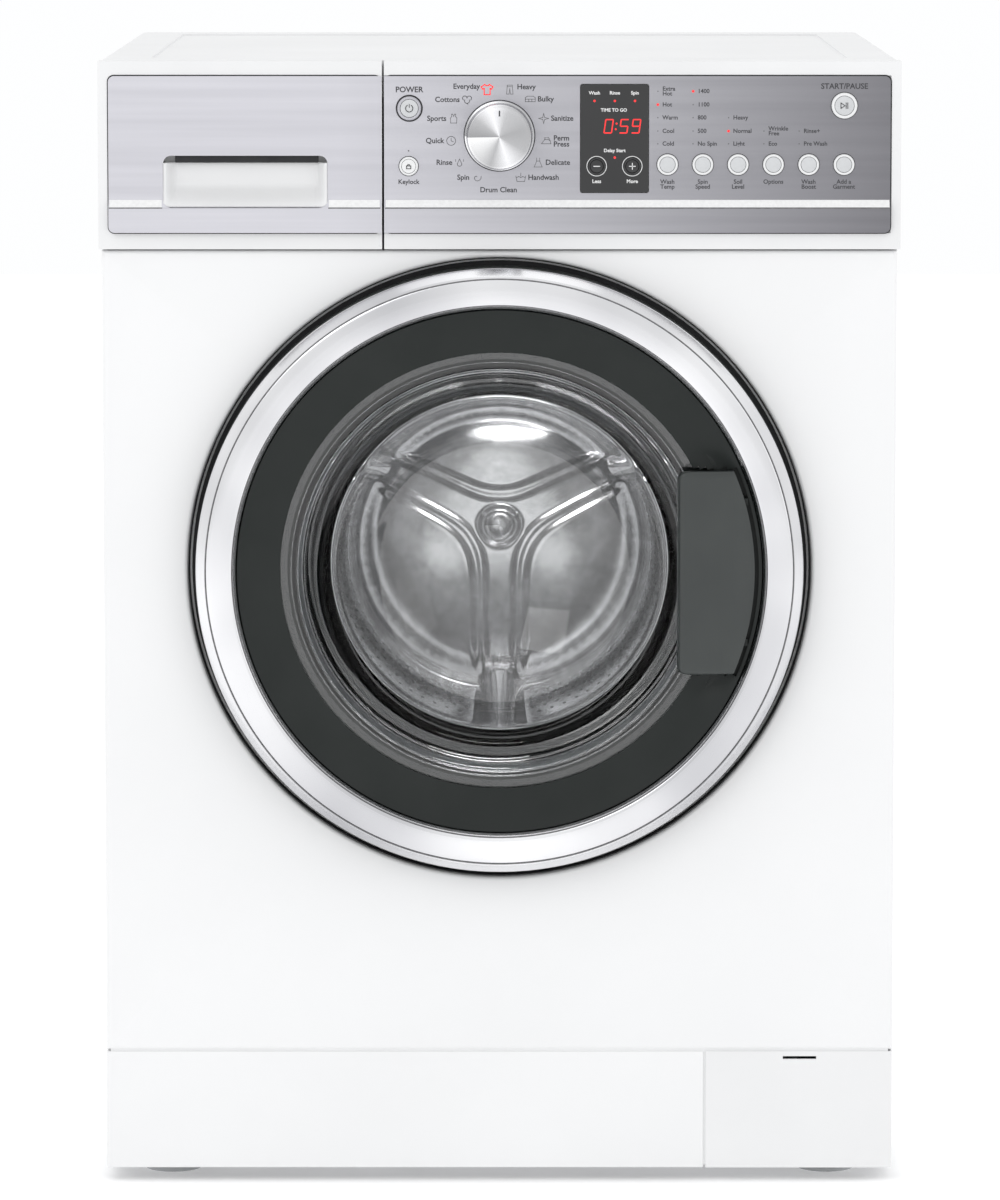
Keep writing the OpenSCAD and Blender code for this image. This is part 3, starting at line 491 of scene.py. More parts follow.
def studio():
    world = bpy.data.worlds.new("studio")
    bpy.context.scene.world = world
    world.use_nodes = True
    world.node_tree.nodes["Background"].inputs["Color"].default_value = (0.99, 0.995, 1.0, 1)
    world.node_tree.nodes["Background"].inputs["Strength"].default_value = 1.0
    lamp("key", (-1.6, -3.2, 2.6), (0, 0, 0.5), (1.6, 1.6), 11)
    lamp("fill", (2.6, -2.6, 1.4), (0, 0, 0.5), (1.2, 2.0), 3)
    lamp("top", (0, 0.2, 3.0), (0, 0, 0.8), (2.0, 1.6), 3)
    lamp("drum", (0.03, -0.1, 0.665), (0, 0.14, 0.4), (0.14, 0.03), 0.22)
    floor_mat = material("floor", (0.88, 0.88, 0.885), 0.8, Specular_IOR_Level=0.1,
                         Emission_Color=(1, 1, 1, 1), Emission_Strength=0.28)
    half = 9.0
    floor = mesh_object("floor", [(-half / MM, -half / MM, 0), (half / MM, -half / MM, 0),
                                  (half / MM, half / MM, 0), (-half / MM, half / MM, 0)],
                        [(0, 1, 2, 3)], floor_mat)
    scene = bpy.context.scene
    scene.view_settings.view_transform = "Standard"
    scene.view_settings.look = "None"


camera()
studio()


# ---- Door ----
def chrome_ring():
    r, y, back = RING_R, RING_Y, RING_BACK
    outline = [(197, back, 0.2), (197.2, y + 5, 2), (200.5, y + 0.3, 2.5), (206, y - 0.0, 6), (214, y, 6),
               (220.6, y + 0.8, 4), (r, y + 9, 3), (r, back, 0.2), (r - 2.5, back, 0.2), (r - 2.5, y + 10.5),
               (219.5, y + 3.5), (202, y + 3), (199.5, y + 6.5), (199.5, back, 0.2)]
    ring = lathe("door_ring", outline, MATERIALS["chrome"], 288)
    place(ring, "door", "chrome", "door_chrome_ring")
    # Painted reflection: two thin grey rings at the chrome's bends stand for the dark reflections there.
    lines = [lathe("line", [(r0, y + d), (r0 + 0.7, y + d), (r0 + 0.7, y + d + 0.6), (r0, y + d + 0.6)],
                   UNLIT, 288, radius=0.05) for r0, d in ((199.6, 0.2), (220.2, 0.4))]
    place(join("door_ring_lines", lines), "door", "chrome")


def inner_ring():
    """Dark ring with a hollow above and below the handle, cut away behind it."""
    steps, rows = 360, 14
    r0, r1 = 164.5, 196.6
    z_half = (high("door_handle")[2] - low("door_handle")[2]) / 2
    y_out, y_in = RING_Y + 5, RING_Y + 10.8
    verts, faces = [], []

    def surface(r, a):
        t = (r1 - r) / (r1 - r0)
        y = y_out + (y_in - y_out) * t + 1.2 * math.sin(math.pi * t)
        z, x = r * math.sin(a), r * math.cos(a)
        if x > 0:
            beyond = abs(z) - z_half
            across = min(1, max(0, (194 - r) / 26))
            y += 3.2 * math.exp(-((beyond - 6) / 12) ** 2) * math.sin(math.pi * across / 1.2)
        return y

    def gap_at(r, a):
        x, z = r * math.cos(a), r * math.sin(a)
        return x > 0 and abs(z) < z_half + 1.1 and 131 < x and r < 194.2

    for i in range(rows + 1):
        r = r0 + (r1 - r0) * i / rows
        for j in range(steps):
            a = 2 * math.pi * j / steps
            verts.append((r * math.cos(a), surface(r, a), r * math.sin(a)))
    for i in range(rows):
        r = r0 + (r1 - r0) * (i + 0.5) / rows
        for j in range(steps):
            if gap_at(r, 2 * math.pi * (j + 0.5) / steps):
                continue
            k = (j + 1) % steps
            faces.append((i * steps + j, i * steps + k, (i + 1) * steps + k, (i + 1) * steps + j))
    ring = mesh_object("door_inner_trim", verts, faces, DARK, (0, 0, AXIS_Z))
    thicken(ring, 2.4, -1)
    sharpen(ring, 45)
    place(ring, "door", "dark_plastic", "door_inner_ring")


def handle():
    """Pull lever: a curved blade that swells into the ring on its right."""
    z0, z1 = low("door_handle")[2] - AXIS_Z, high("door_handle")[2] - AXIS_Z
    x0 = low("door_handle")[0]
    rows, cols = 40, 30
    y = RING_Y
    front = [(0.0, 1.2), (0.5, -1.4), (2.0, -3.2), (5.0, -4.0), (14, -4.2), (24, -3.9), (34, -2.6), (43, -0.6),
             (50, 1.8), (56, 4.4)]
    def edge_x(z):
        return min(191.2, math.sqrt(191.2 ** 2 - z * z))

    def front_y(dx):
        for (a, ya), (b, yb) in zip(front, front[1:]):
            if dx <= b:
                return ya + (yb - ya) * (dx - a) / (b - a)
        return front[-1][1]

    def left_x(z):
        r = 6.0
        d = max(0, abs(z) - (z1 - r))
        return x0 + r - math.sqrt(max(0, r * r - d * d))

    verts, faces = [], []
    layer = (rows + 1) * (cols + 1)
    for side in (0, 1):
        for i in range(rows + 1):
            s = i / rows
            z = z0 + (z1 - z0) * (0.5 - 0.5 * math.cos(math.pi * s)) if 0 < i < rows else (z0, z1)[i == rows]
            xa, xb = left_x(z), edge_x(z)
            ends = 2.2 * max(0, 1 - (z1 - abs(z)) / 3.0) ** 2
            for j in range(cols + 1):
                t = j / cols
                t = 0.5 - 0.5 * math.cos(math.pi * t)
                x = xa + (xb - xa) * t
                dx = x - x0
                edge = 2.4 * max(0, 1 - (x - xa) / 3.0) ** 2
                yf = y + front_y(dx) + ends + edge
                yb = y + 2.6 + 1.6 * min(1, dx / 30) - edge * 0.4
                if dx > 34:
                    yb += (dx - 34) / 22 * 5.0
                verts.append((x, yf if side == 0 else max(yb, yf + 1.0), z))
    for i in range(rows):
        for j in range(cols):
            a = i * (cols + 1) + j
            b, c, d = a + 1, a + cols + 2, a + cols + 1
            faces.append((a, b, c, d))
            faces.append((layer + d, layer + c, layer + b, layer + a))
    rim = [j for j in range(cols + 1)] + [(i + 1) * (cols + 1) + cols for i in range(rows)]
    rim += [rows * (cols + 1) + j for j in range(cols - 1, -1, -1)]
    rim += [i * (cols + 1) for i in range(rows - 1, 0, -1)]
    for a, b in zip(rim, rim[1:] + rim[:1]):
        faces.append((a, layer + a, layer + b, b))
    blade = mesh_object("door_pull", verts, faces, HANDLE_PAINTED_LIGHT, (0, 0, AXIS_Z))
    sharpen(blade, 60)
    place(blade, "door_handle", "dark_plastic", "door_handle")


def glass_bowl():
    y = RING_Y
    inner = [(r, y + 121 - (163 - math.sqrt(163 ** 2 - r * r))) for r in range(0, 146, 5)]
    inner += [(147, y + 28, 3), (151.5, y + 18, 3), (154, y + 15.8, 2), (176, y + 15.8, 0.5)]
    outer = [(176, y + 20, 0.5), (157, y + 20.5, 3), (151, y + 32, 4), (148, y + 60, 8), (143, y + 91, 4)]
    outer += [(r, y + 126 - (330 - math.sqrt(330 ** 2 - r * r))) for r in range(140, -1, -5)]
    bowl = lathe("door_bowl", fillet(inner + outer, 0, 6), MATERIALS["clear_glass"], closed=False)
    place(bowl, "door", "clear_glass", "door_glass")


def door_seal():
    """Rubber bellows from the front panel to the tub neck."""
    y = low("door_seal")[1]
    tub_end = high("door_seal")[1]
    outline = [(153.5, y + 3, 2), (160, y, 3), (177.3, y, 1), (177.3, y + 14, 3), (175.6, y + 25, 4),
               (185, y + 34, 5), (185.8, y + 45, 5), (180, y + 53, 4), (171, y + 55.5, 3), (171, tub_end, 0.6),
               (168.1, tub_end, 0.6), (168.1, y + 58, 3), (170.2, y + 51, 3), (177, y + 48, 3),
               (181.8, y + 43, 4), (180, y + 37, 4), (171.6, y + 28, 3), (173, y + 11, 3), (160, y + 7, 3),
               (153.5, y + 7, 2)]
    seal = lathe("door_gasket", outline, MATERIALS["grey_rubber"], 192)
    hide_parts("door_seal")
    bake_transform(seal)


chrome_ring()
inner_ring()
handle()
glass_bowl()
door_seal()


# ---- Drum ----
ARMS = [math.radians(a) for a in (-90, 30, 150)]


def perforated_wall(y0, y1):
    """Drum wall of cells with a real round hole in each, every other row half a cell along."""
    r = DRUM_R - 0.8
    cols, rows = 84, 13
    hole = 2.6
    pitch = 2 * math.pi * r / cols
    step = (y1 - y0) / rows
    border = [(-1, -1), (0, -1), (1, -1), (1, 0), (1, 1), (0, 1), (-1, 1), (-1, 0)]
    verts, faces = [], []

    def point(u, y):
        a = u / r
        return (r * math.cos(a), y, r * math.sin(a))

    for i in range(rows):
        yc = y0 + (i + 0.5) * step
        for j in range(cols):
            uc = (j + 0.5 * (i % 2)) * pitch
            a = (uc / r) % (2 * math.pi)
            near = min(abs((a - arm + math.pi) % (2 * math.pi) - math.pi) for arm in ARMS)
            base = len(verts)
            for bx, by in border:
                verts.append(point(uc + bx * pitch / 2, yc + by * step / 2))
            if near * r < 40:
                faces.append(tuple(range(base, base + 8)))
                continue
            for k in range(8):
                t = math.radians(225 + 45 * k)
                verts.append(point(uc + hole * math.cos(t), yc + hole * math.sin(t)))
            for k in range(8):
                m = (k + 1) % 8
                faces.append((base + k, base + m, base + 8 + m, base + 8 + k))
    return mesh_object("wall", verts, faces, STEEL, (0, 0, AXIS_Z))


def drum_shell():
    y0, y1 = DRUM_FRONT + 14, DRUM_BACK - 34
    wall = perforated_wall(y0, y1)
    r = DRUM_R - 0.8
    rear = [(r, y1)]
    for i in range(1, 33):
        t = i / 32
        wave = 2.4 * math.sin(math.pi * 3 * t) ** 2 if 0 < t < 1 else 0
        rear.append((r - wave, y1 + (DRUM_BACK - y1) * t))
    back_band = lathe("band", rear, STEEL, 252, closed=False)
    mouth = 160.5
    front = [(r, y0), (r, DRUM_FRONT + 7), (r - 2, DRUM_FRONT + 2.5), (r - 6, DRUM_FRONT + 0.8),
             (r - 22, DRUM_FRONT + 0.8), (r - 30, DRUM_FRONT + 4), (r - 44, DRUM_FRONT + 4),
             (r - 52, DRUM_FRONT + 0.8), (mouth + 6, DRUM_FRONT + 0.8), (mouth + 1, DRUM_FRONT - 1),
             (mouth, DRUM_FRONT - 3.5), (mouth + 1.8, DRUM_FRONT - 5.6), (mouth + 3.2, DRUM_FRONT - 4)]
    lip = lathe("lip", front, STEEL, 252, closed=False)
    shell = join("drum_wall", [wall, back_band, lip])
    tidy_normals(shell)
    place(shell, "drum", "stainless", "drum_shell")


def arm_distance(x, z):
    """Distance to the nearest arm's middle line, with the meeting corners rounded."""
    total = 0.0
    soft = 13.0
    for a in ARMS:
        ux, uz = math.cos(a), math.sin(a)
        along = max(0.0, x * ux + z * uz)
        d = math.hypot(x - along * ux, z - along * uz)
        total += math.exp(-d / soft)
    return -soft * math.log(total) + 9.0


def ease(a, b, v):
    t = min(1.0, max(0.0, (v - a) / (b - a)))
    return t * t * (3 - 2 * t)


def drum_back():
    """Pressed back: three low arms in a star between raised lobes, round a flat hub."""
    rows, cols = 84, 300
    edge = DRUM_R - 1.6
    verts, faces = [], []
    for i in range(rows + 1):
        r = edge * (i / rows)
        for j in range(cols):
            a = 2 * math.pi * j / cols
            x, z = r * math.cos(a), r * math.sin(a)
            d = arm_distance(x, z)
            lobe = ease(34, 52, d) * (1 - ease(188, 228, r))
            ridge = math.exp(-((d - 33) / 6.5) ** 2) * (1 - ease(205, 232, r))
            crown = 5.0 * ease(52, 120, d) * (1 - ease(170, 225, r))
            hub = 7.0 * (1 - ease(20, 34, r))
            dish = 4.0 * ease(40, 170, r) * (1 - ease(225, 240, r))
            verts.append((x, DRUM_BACK - 1.0 - 6.0 * lobe - 3.0 * ridge - crown * 0.6 - hub - dish * 0.5, z))
    faces = grid_faces(rows + 1, cols)
    back = mesh_object("drum_star", verts, faces, STEEL, (0, 0, AXIS_Z))
    place(back, "drum", "stainless", "drum_back")
    y = DRUM_BACK - 8
    hub = lathe("drum_hub", [(0, y - 3.4), (8, y - 3.2), (15, y - 2.2), (20, y - 0.2), (23, y + 3), (0, y + 3)],
                MATERIALS["turned_aluminium"], 72, closed=False)
    place(hub, "drum", "stainless")


def lifters():
    y0, y1 = low("lifters")[1], high("lifters")[1]
    across, along = 28, 40
    r = DRUM_R - 1.6
    parts = []
    for a in ARMS:
        verts = []
        for i in range(along + 1):
            v = i / along
            y = y0 + (y1 - y0) * v
            end = ease(0, 0.10, v) * ease(0, 0.10, 1 - v)
            for j in range(across + 1):
                u = 2 * j / across - 1
                hump = (1 - abs(u) ** 2.4) ** 1.3 * 45 * (0.25 + 0.75 * end) * (1 if 0 < v < 1 else 0)
                side = u * 36
                depth = math.sqrt(r * r - side * side) - hump
                verts.append((depth * math.cos(a) - side * math.sin(a), y,
                              depth * math.sin(a) + side * math.cos(a)))
        parts.append(mesh_object("lifter", verts, grid_faces(along + 1, across + 1, closed=False),
                                 STEEL, (0, 0, AXIS_Z)))
    place(join("drum_lifters", parts), "drum", "stainless", "lifters")


drum_shell()
drum_back()
lifters()


# ---- Prints and lights on the console ----
PRINT_LIFT = 0.06


def flat_outline(outline, y, mat, name="mark"):
    """Thin plate in the plane of the console face."""
    return prism(name, outline, y - PRINT_LIFT, y, mat)


def stroke(points, width, y, mat, closed=False):
    """Line of constant width along points (x, z), as a chain of thin plates."""
    verts, faces = [], []
    pts = points + [points[0]] if closed else points
    for (xa, za), (xb, zb) in zip(pts, pts[1:]):
        length = math.hypot(xb - xa, zb - za) or 1
        ux, uz = (xb - xa) / length * width / 2, (zb - za) / length * width / 2
        base = len(verts)
        corners = [(xa - ux - uz, za - uz + ux), (xa - ux + uz, za - uz - ux),
                   (xb + ux + uz, zb + uz - ux), (xb + ux - uz, zb + uz + ux)]
        for yy in (y, y - PRINT_LIFT):
            verts += [(x, yy, z) for x, z in corners]
        for q in ((0, 1, 2, 3), (7, 6, 5, 4), (0, 4, 5, 1), (1, 5, 6, 2), (2, 6, 7, 3), (3, 7, 4, 0)):
            faces.append(tuple(base + k for k in q))
    return mesh_object("stroke", verts, faces, mat, smooth=False)


def label(words, x, z, height, y, mat, align="CENTER"):
    """Plain control wording set in the built-in typeface. z is the middle of the line."""
    curve = bpy.data.curves.new("label", "FONT")
    curve.body = words
    curve.size = height * 1.38 * MM
    curve.align_x = align
    curve.align_y = "CENTER"
    curve.extrude = PRINT_LIFT / 2 * MM
    curve.offset = height * 0.028 * MM
    curve.resolution_u = 3
    curve.space_line = 0.82
    obj = bpy.data.objects.new("label", curve)
    obj.rotation_euler = (math.pi / 2, 0, 0)
    obj.location = (x * MM, (y - PRINT_LIFT / 2) * MM, z * MM)
    bpy.context.scene.collection.objects.link(obj)
    bpy.context.view_layer.update()
    graph = bpy.context.evaluated_depsgraph_get()
    mesh = bpy.data.meshes.new_from_object(obj.evaluated_get(graph))
    mesh.transform(obj.matrix_world)
    bpy.data.objects.remove(obj)
    out = bpy.data.objects.new("label", mesh)
    bpy.context.scene.collection.objects.link(out)
    mesh.materials.clear()
    mesh.materials.append(mat)
    return out


def arc(cx, cz, r, a0, a1, steps=12):
    return [(cx + r * math.cos(math.radians(a0 + (a1 - a0) * k / steps)),
             cz + r * math.sin(math.radians(a0 + (a1 - a0) * k / steps))) for k in range(steps + 1)]


# Small symbols, drawn in a square from -1 to 1
SYMBOLS = {
    "shirt": [[(-0.4, 0.8), (-1, 0.4), (-0.75, 0), (-0.5, 0.15), (-0.5, -0.9), (0.5, -0.9), (0.5, 0.15),
               (0.75, 0), (1, 0.4), (0.4, 0.8), (0.15, 0.6), (-0.15, 0.6), (-0.4, 0.8)]],
    "trousers": [[(-0.5, 0.9), (0.5, 0.9), (0.65, -0.9), (0.15, -0.9), (0, 0.2), (-0.15, -0.9), (-0.65, -0.9),
                  (-0.5, 0.9)], [(-0.5, 0.6), (0.5, 0.6)]],
    "blossom": [arc(0.45, 0.3, 0.45, -60, 180), arc(-0.45, 0.3, 0.45, 0, 240), arc(0, -0.25, 0.5, 150, 390),
                [(0, -0.7), (0.2, -1)]],
    "duvet": [[(-1, -0.5), (-1, 0.3), (-0.6, 0.6), (0.6, 0.6), (1, 0.3), (1, -0.5), (-1, -0.5)],
              [(-1, 0), (1, 0)], [(-0.3, 0), (-0.3, -0.5)], [(0.3, 0), (0.3, -0.5)]],
    "vest": [[(-0.4, 0.9), (-0.4, 0.4), (-0.65, 0.1), (-0.6, -0.9), (0.6, -0.9), (0.65, 0.1), (0.4, 0.4),
              (0.4, 0.9), (0.2, 0.9), (0, 0.45), (-0.2, 0.9), (-0.4, 0.9)]],
    "sparkle": [[(0, 1), (0.2, 0.2), (1, 0), (0.2, -0.2), (0, -1), (-0.2, -0.2), (-1, 0), (-0.2, 0.2), (0, 1)]],
    "clock": [arc(0, 0, 0.9, 0, 360, 20), [(0, 0.55), (0, 0), (0.45, -0.2)]],
    "iron": [[(-0.95, -0.5), (0.95, -0.5), (0.8, 0.1), (0.4, 0.35), (-0.3, 0.35), (-0.95, -0.5)],
             [(-0.2, 0.35), (-0.3, 0.7), (0.5, 0.7), (0.8, 0.1)]],
    "drops": [arc(0, -0.3, 0.45, 140, 400, 10) + [(0, 0.7)] + [arc(0, -0.3, 0.45, 140, 400, 10)[0]],
              [(-0.8, 0.6), (-0.8, 0.2)], [(0.8, 0.6), (0.8, 0.2)]],
    "dress": [[(-0.3, 0.9), (-0.3, 0.3), (-0.8, -0.9), (0.8, -0.9), (0.3, 0.3), (0.3, 0.9)],
              [(-0.3, 0.3), (0.3, 0.3)]],
    "spiral": [[(r * math.cos(7 * r), r * math.sin(7 * r)) for r in [k / 16 for k in range(3, 16)]]],
    "basin": [[(-1, 0.3), (-0.75, -0.8), (0.75, -0.8), (1, 0.3)],
              [(-0.85, 0), (-0.4, 0.2), (0, 0), (0.4, 0.2), (0.85, 0)], [(0, 0.3), (0, 0.9)]],
    "power": [arc(0, 0, 0.9, 120, 420, 16), [(0, 1), (0, 0.25)]],
    "padlock": [[(-0.7, -0.8), (0.7, -0.8), (0.7, 0.1), (-0.7, 0.1), (-0.7, -0.8)],
                arc(0, 0.1, 0.45, 0, 180, 8)],
    "start": [[(-0.9, 0.7), (-0.9, -0.7), (0.1, 0), (-0.9, 0.7)], [(0.4, 0.7), (0.4, -0.7)],
              [(0.8, 0.7), (0.8, -0.7)]],
}


def symbol(kind, x, z, half, y, mat, width=0.45):
    return [stroke([(x + px * half, z + pz * half) for px, pz in line], width, y, mat)
            for line in SYMBOLS[kind]]


# ---- Console ----
FASCIA_X = high("console_fascia")[0]
FASCIA_Z = (low("console_fascia")[2], high("console_fascia")[2])
LEDGE_Z = (740.7, 746.6)
OPTION_X = [middle(n + "_button")[0] for n in
            ("wash_temp", "spin_speed", "soil_level", "options", "wash_boost", "add_garment")]


def skin(name, x0, x1, cut=None, round_left=False, body="drawer"):
    """Silver skin: flat face, sloping ledge and lower band, with an opening cut out."""
    y = SKIN_Y - 0.25
    z0, z1 = FASCIA_Z
    side = [(y + 1.1, z0), (y - 3, z0), (y - 3, LEDGE_Z[0]), (y, LEDGE_Z[1]), (y, z1), (y + 1.1, z1)]
    verts = [(x, yy, z) for x in (x0, x1) for yy, z in side]
    n = len(side)
    faces = [tuple(range(n)), tuple(range(2 * n - 1, n - 1, -1))]
    faces += [(j, n + j, n + (j + 1) % n, (j + 1) % n) for j in range(n)]
    obj = mesh_object(name, verts, faces, SILVER, smooth=False)
    right = x1 + 20 if round_left else x1
    left = x0 if round_left else x0 - 20
    carve(obj, rounded_rect(left, right, z0, z1, 4.5), "INTERSECT")
    if cut:
        carve(obj, cut, "DIFFERENCE")
    bevel(obj, 0.35, 2, 50)
    return place(obj, body, "silver_skin")


def carve(obj, outline, operation):
    tool = prism("tool", outline, SKIN_Y - 12, SKIN_Y + 12, PAINTED_SHADE)
    m = obj.modifiers.new("carve", "BOOLEAN")
    m.object = tool
    m.operation = operation
    m.solver = "EXACT"
    apply_modifiers(obj)
    bpy.data.objects.remove(tool)
    while len(obj.data.materials) > 1:
        obj.data.materials.pop()


def button(node, r, disc_mat, ring_mat, slot, dark_ring=0.5):
    """Round push button: flat disc in a raised ring, with a dark ring of painted shade for the gap round it."""
    x, _, z = middle(node)
    y, back = low(node)[1], high(node)[1]
    name = node.replace("_button", "")
    inner = r * 0.76
    outline = [(0, y + 0.35, 0), (inner - 0.3, y + 0.35, 0.2), (inner - 0.1, y + 1.4, 0.1),
               (r - 0.5, y + 1.6, 0.1), (r - 0.4, SKIN_Y + 2.4, 0.1), (3, SKIN_Y + 2.5, 0.1),
               (3, back, 0.1), (0, back, 0)]
    cap = lathe(name + "_cap", outline, disc_mat, 64, at=(x, 0, z))
    place(cap, node, slot, node)
    outline = [(inner, y + 1.2), (inner + 0.15, y + 0.2), (inner + 0.7, y), (r - 0.5, y + 0.1), (r, y + 0.8),
               (r, SKIN_Y + 2.2), (r - 0.6, SKIN_Y + 2.2), (r - 0.6, y + 1.3)]
    ring = lathe(name + "_ring", outline, ring_mat, 64, at=(x, 0, z), radius=0.25)
    place(ring, node, slot)
    # Painted shade: dark ring in the gap round the button.
    rim = lathe(name + "_shade_ring", [(r + 0.2, SKIN_Y + 1.0), (r + dark_ring, SKIN_Y + 1.0),
                                     (r + dark_ring, SKIN_Y - 0.12), (r + 0.2, SKIN_Y - 0.12)],
                PAINTED_SHADE, 64, at=(x, 0, z), radius=0.05)
    place(rim, "cabinet", "dark_plastic")


def knob():
    x, _, z = KNOB
    r = high("program_knob")[0]
    y, back = KNOB_FRONT, SKIN_Y - 0.6
    outline = [(0, y + 1.0, 0), (r - 6, y + 0.5, 2), (r - 2.6, y + 0.2, 1.2), (r - 1.5, y + 2.5, 1.0),
               (r - 1.1, back - 4, 0.8), (r - 1.9, back - 3.2, 0.3), (r - 1.9, back - 2.2, 0.3),
               (r, back - 1.6, 0.4), (r, back, 0.3), (3, back, 0.1), (3, high("program_knob")[1], 0.1),
               (0, high("program_knob")[1], 0)]
    cap = lathe("knob_cap", outline, MATERIALS["turned_aluminium"], 160, at=(x, 0, z))
    place(cap, "program_knob", "turned_aluminium", "program_knob")
    line = stroke([(x, z + r - 10), (x, z + r - 4)], 1.1, y + 0.55, INK)
    line.name = "knob_pointer"
    place(line, "program_knob", "dark_plastic")
    # Painted shade: dark ring in the gap round the knob.
    base = lathe("knob_shade_ring", [(r + 0.2, SKIN_Y + 0.4), (r + 0.8, SKIN_Y + 0.4), (r + 0.8, SKIN_Y - 0.3),
                                   (r + 0.2, SKIN_Y - 0.3)], PAINTED_SHADE, 96, at=(x, 0, z), radius=0.1)
    place(base, "cabinet", "dark_plastic")


def led(x, z, r, y, lit):
    return flat_outline(disc(x, z, r, 20), y, RED if lit else UNLIT, "led")


SEGMENTS = {"0": "abcdef", "5": "acdfg", "9": "abcdfg"}


def digit(char, x, z, w, h, y):
    """Seven-bar figure leaning to the right."""
    bars = {"a": (0, 1, 1, 1), "b": (1, 1, 1, 0.5), "c": (1, 0.5, 1, 0), "d": (0, 0, 1, 0), "e": (0, 0, 0, 0.5),
            "f": (0, 0.5, 0, 1), "g": (0, 0.5, 1, 0.5)}
    lean = 0.14
    out = []
    for key in SEGMENTS[char]:
        xa, za, xb, zb = bars[key]
        ends = [(x + u * w + v * h * lean, z + v * h) for u, v in ((xa, za), (xb, zb))]
        (px, pz), (qx, qz) = ends
        trim = 0.1
        out.append(stroke([(px + (qx - px) * trim, pz + (qz - pz) * trim),
                           (qx - (qx - px) * trim, qz - (qz - pz) * trim)], 0.9, y, RED))
    return out


def display():
    refined("display_glass", "display_window", BLACK, 0.4)
    x0 = low("display_window")[0]
    y = low("display_window")[1] - 0.02
    lights, prints = [], []
    for dx, word in ((10.5, "Wash"), (25.7, "Rinse"), (40.7, "Spin")):
        lights.append(led(x0 + dx, 820.5, 0.9, y, True))
        prints.append(label(word, x0 + dx, 826.4, 2.6, y, WHITE_INK))
    prints.append(label("TIME TO GO", x0 + 25, 813.6, 2.5, y, WHITE_INK))
    z, h, w = 796.6, 10.0, 5.6
    lights += digit("0", 78.0, z, w, h, y) + digit("5", 89.5, z, w, h, y) + digit("9", 98.5, z, w, h, y)
    lights += [led(86.8, z + 2.8, 0.75, y, True), led(87.4, z + 7.0, 0.75, y, True)]
    prints.append(label("Delay Start", x0 + 25.6, 783.4, 2.6, y, WHITE_INK))
    lights.append(led(86.1, 778.2, 0.9, y, True))
    for node, word in (("delay_less_button", "Less"), ("delay_more_button", "More")):
        x, _, bz = middle(node)
        prints.append(label(word, x, 760.4, 2.8, y, WHITE_INK))
        ring = lathe(node + "_rim", [(7.0, y + 0.3), (7.6, y + 0.3), (7.6, y - 0.25), (7.0, y - 0.25)],
                     WHITE_INK, 64, at=(x, 0, bz), radius=0.1)
        place(ring, "cabinet", "silver_skin")
        sign = [stroke([(x - 2.2, bz), (x + 2.2, bz)], 0.6, low(node)[1] - 0.02, WHITE_INK)]
        if "more" in node:
            sign.append(stroke([(x, bz - 2.2), (x, bz + 2.2)], 0.6, low(node)[1] - 0.02, WHITE_INK))
        place(join(node + "_sign", sign), node, "dark_plastic")
    place(join("display_lights", lights), "cabinet", "black_window")
    place(join("display_words", prints), "cabinet", "black_window")


PROGRAMS = [("Everyday", "shirt", -9.2, 34.7), ("Heavy", "trousers", 7.7, 34.4),
            ("Cottons", "blossom", -24.2, 26.9), ("Bulky", "duvet", 23, 27.3), ("Sports", "vest", -34.2, 12.8),
            ("Sanitize", "sparkle", 33, 12.9), ("Quick", "clock", -36.1, -3.8),
            ("Perm\nPress", "iron", 34.9, -4.1), ("Rinse", "drops", -29.8, -20),
            ("Delicate", "dress", 28.9, -20), ("Spin", "spiral", -17, -31.2), ("Handwash", "basin", 15.9, -31.2)]
LED_COLUMNS = [118.2, 144.5, 171.0, 197.4, 223.7]
LED_ROWS = [827.7, 817.7, 808.0, 798.0, 788.5]
CHOICES = [["Extra\nHot", "Hot", "Warm", "Cool", "Cold"], ["1400", "1100", "800", "500", "No Spin"],
           [None, None, "Heavy", "Normal", "Light"], [None, None, None, "Wrinkle\nFree", "Eco"],
           [None, None, None, "Rinse+", "Pre Wash"]]
LIT = {(0, 1), (1, 0), (2, 3)}


def console_print():
    y = SKIN_Y - 0.02
    prints, lights = [], []
    kx, kz = KNOB[0], KNOB[2]
    for word, kind, dx, dz in PROGRAMS:
        x, z = kx + dx, kz + dz
        if word == "Everyday":
            lights += symbol(kind, x, z, 4.4, y, RED, 0.75)
        else:
            prints += symbol(kind, x, z, 3.7, y, UNLIT, 0.45)
        side = -1 if dx < 0 else 1
        prints.append(label(word, x + side * 5.4, z + (2 if abs(dx) < 12 else 0), 4.0, y, INK,
                            "RIGHT" if side < 0 else "LEFT"))
    prints.append(label("Drum Clean", kx - 0.7, kz - 40.5, 4.0, y, INK))
    for c, (x, words) in enumerate(zip(LED_COLUMNS, CHOICES)):
        for r, (z, word) in enumerate(zip(LED_ROWS, words)):
            if word:
                lit = (c, r) in LIT
                lights.append(led(x, z, 1.0 if lit else 0.5, y, lit))
                prints.append(label(word, x + 3.4, z, 3.2, y, INK, "LEFT"))
    names = ["Wash\nTemp", "Spin\nSpeed", "Soil\nLevel", "Options", "Wash\nBoost", "Add a\nGarment"]
    for x, word in zip(OPTION_X, names):
        prints.append(label(word, x, 758.2 if "\n" in word else 760.1, 3.3, y, INK))
    for word, node, above, size in (("START/PAUSE", "start", 14.3, 4.2), ("POWER", "power", 13.8, 4.3),
                                    ("Keylock", "keylock", -11.8, 3.5)):
        x, _, z = middle(node + "_button")
        prints.append(label(word, x, z + above, size, y, INK))
    lights.append(led(x, z + 11.4, 0.6, y, False))
    place(join("console_words", prints), "cabinet", "silver_skin")
    place(join("console_lights", lights), "cabinet", "silver_skin")
    for node, kind, half in (("power_button", "power", 3.0), ("keylock_button", "padlock", 2.3),
                             ("start_button", "start", 3.0)):
        x, _, z = middle(node)
        marks = symbol(kind, x, z, half, low(node)[1] + 0.12, INK, 0.5)
        place(join(node + "_mark", marks), node, "silver_skin")


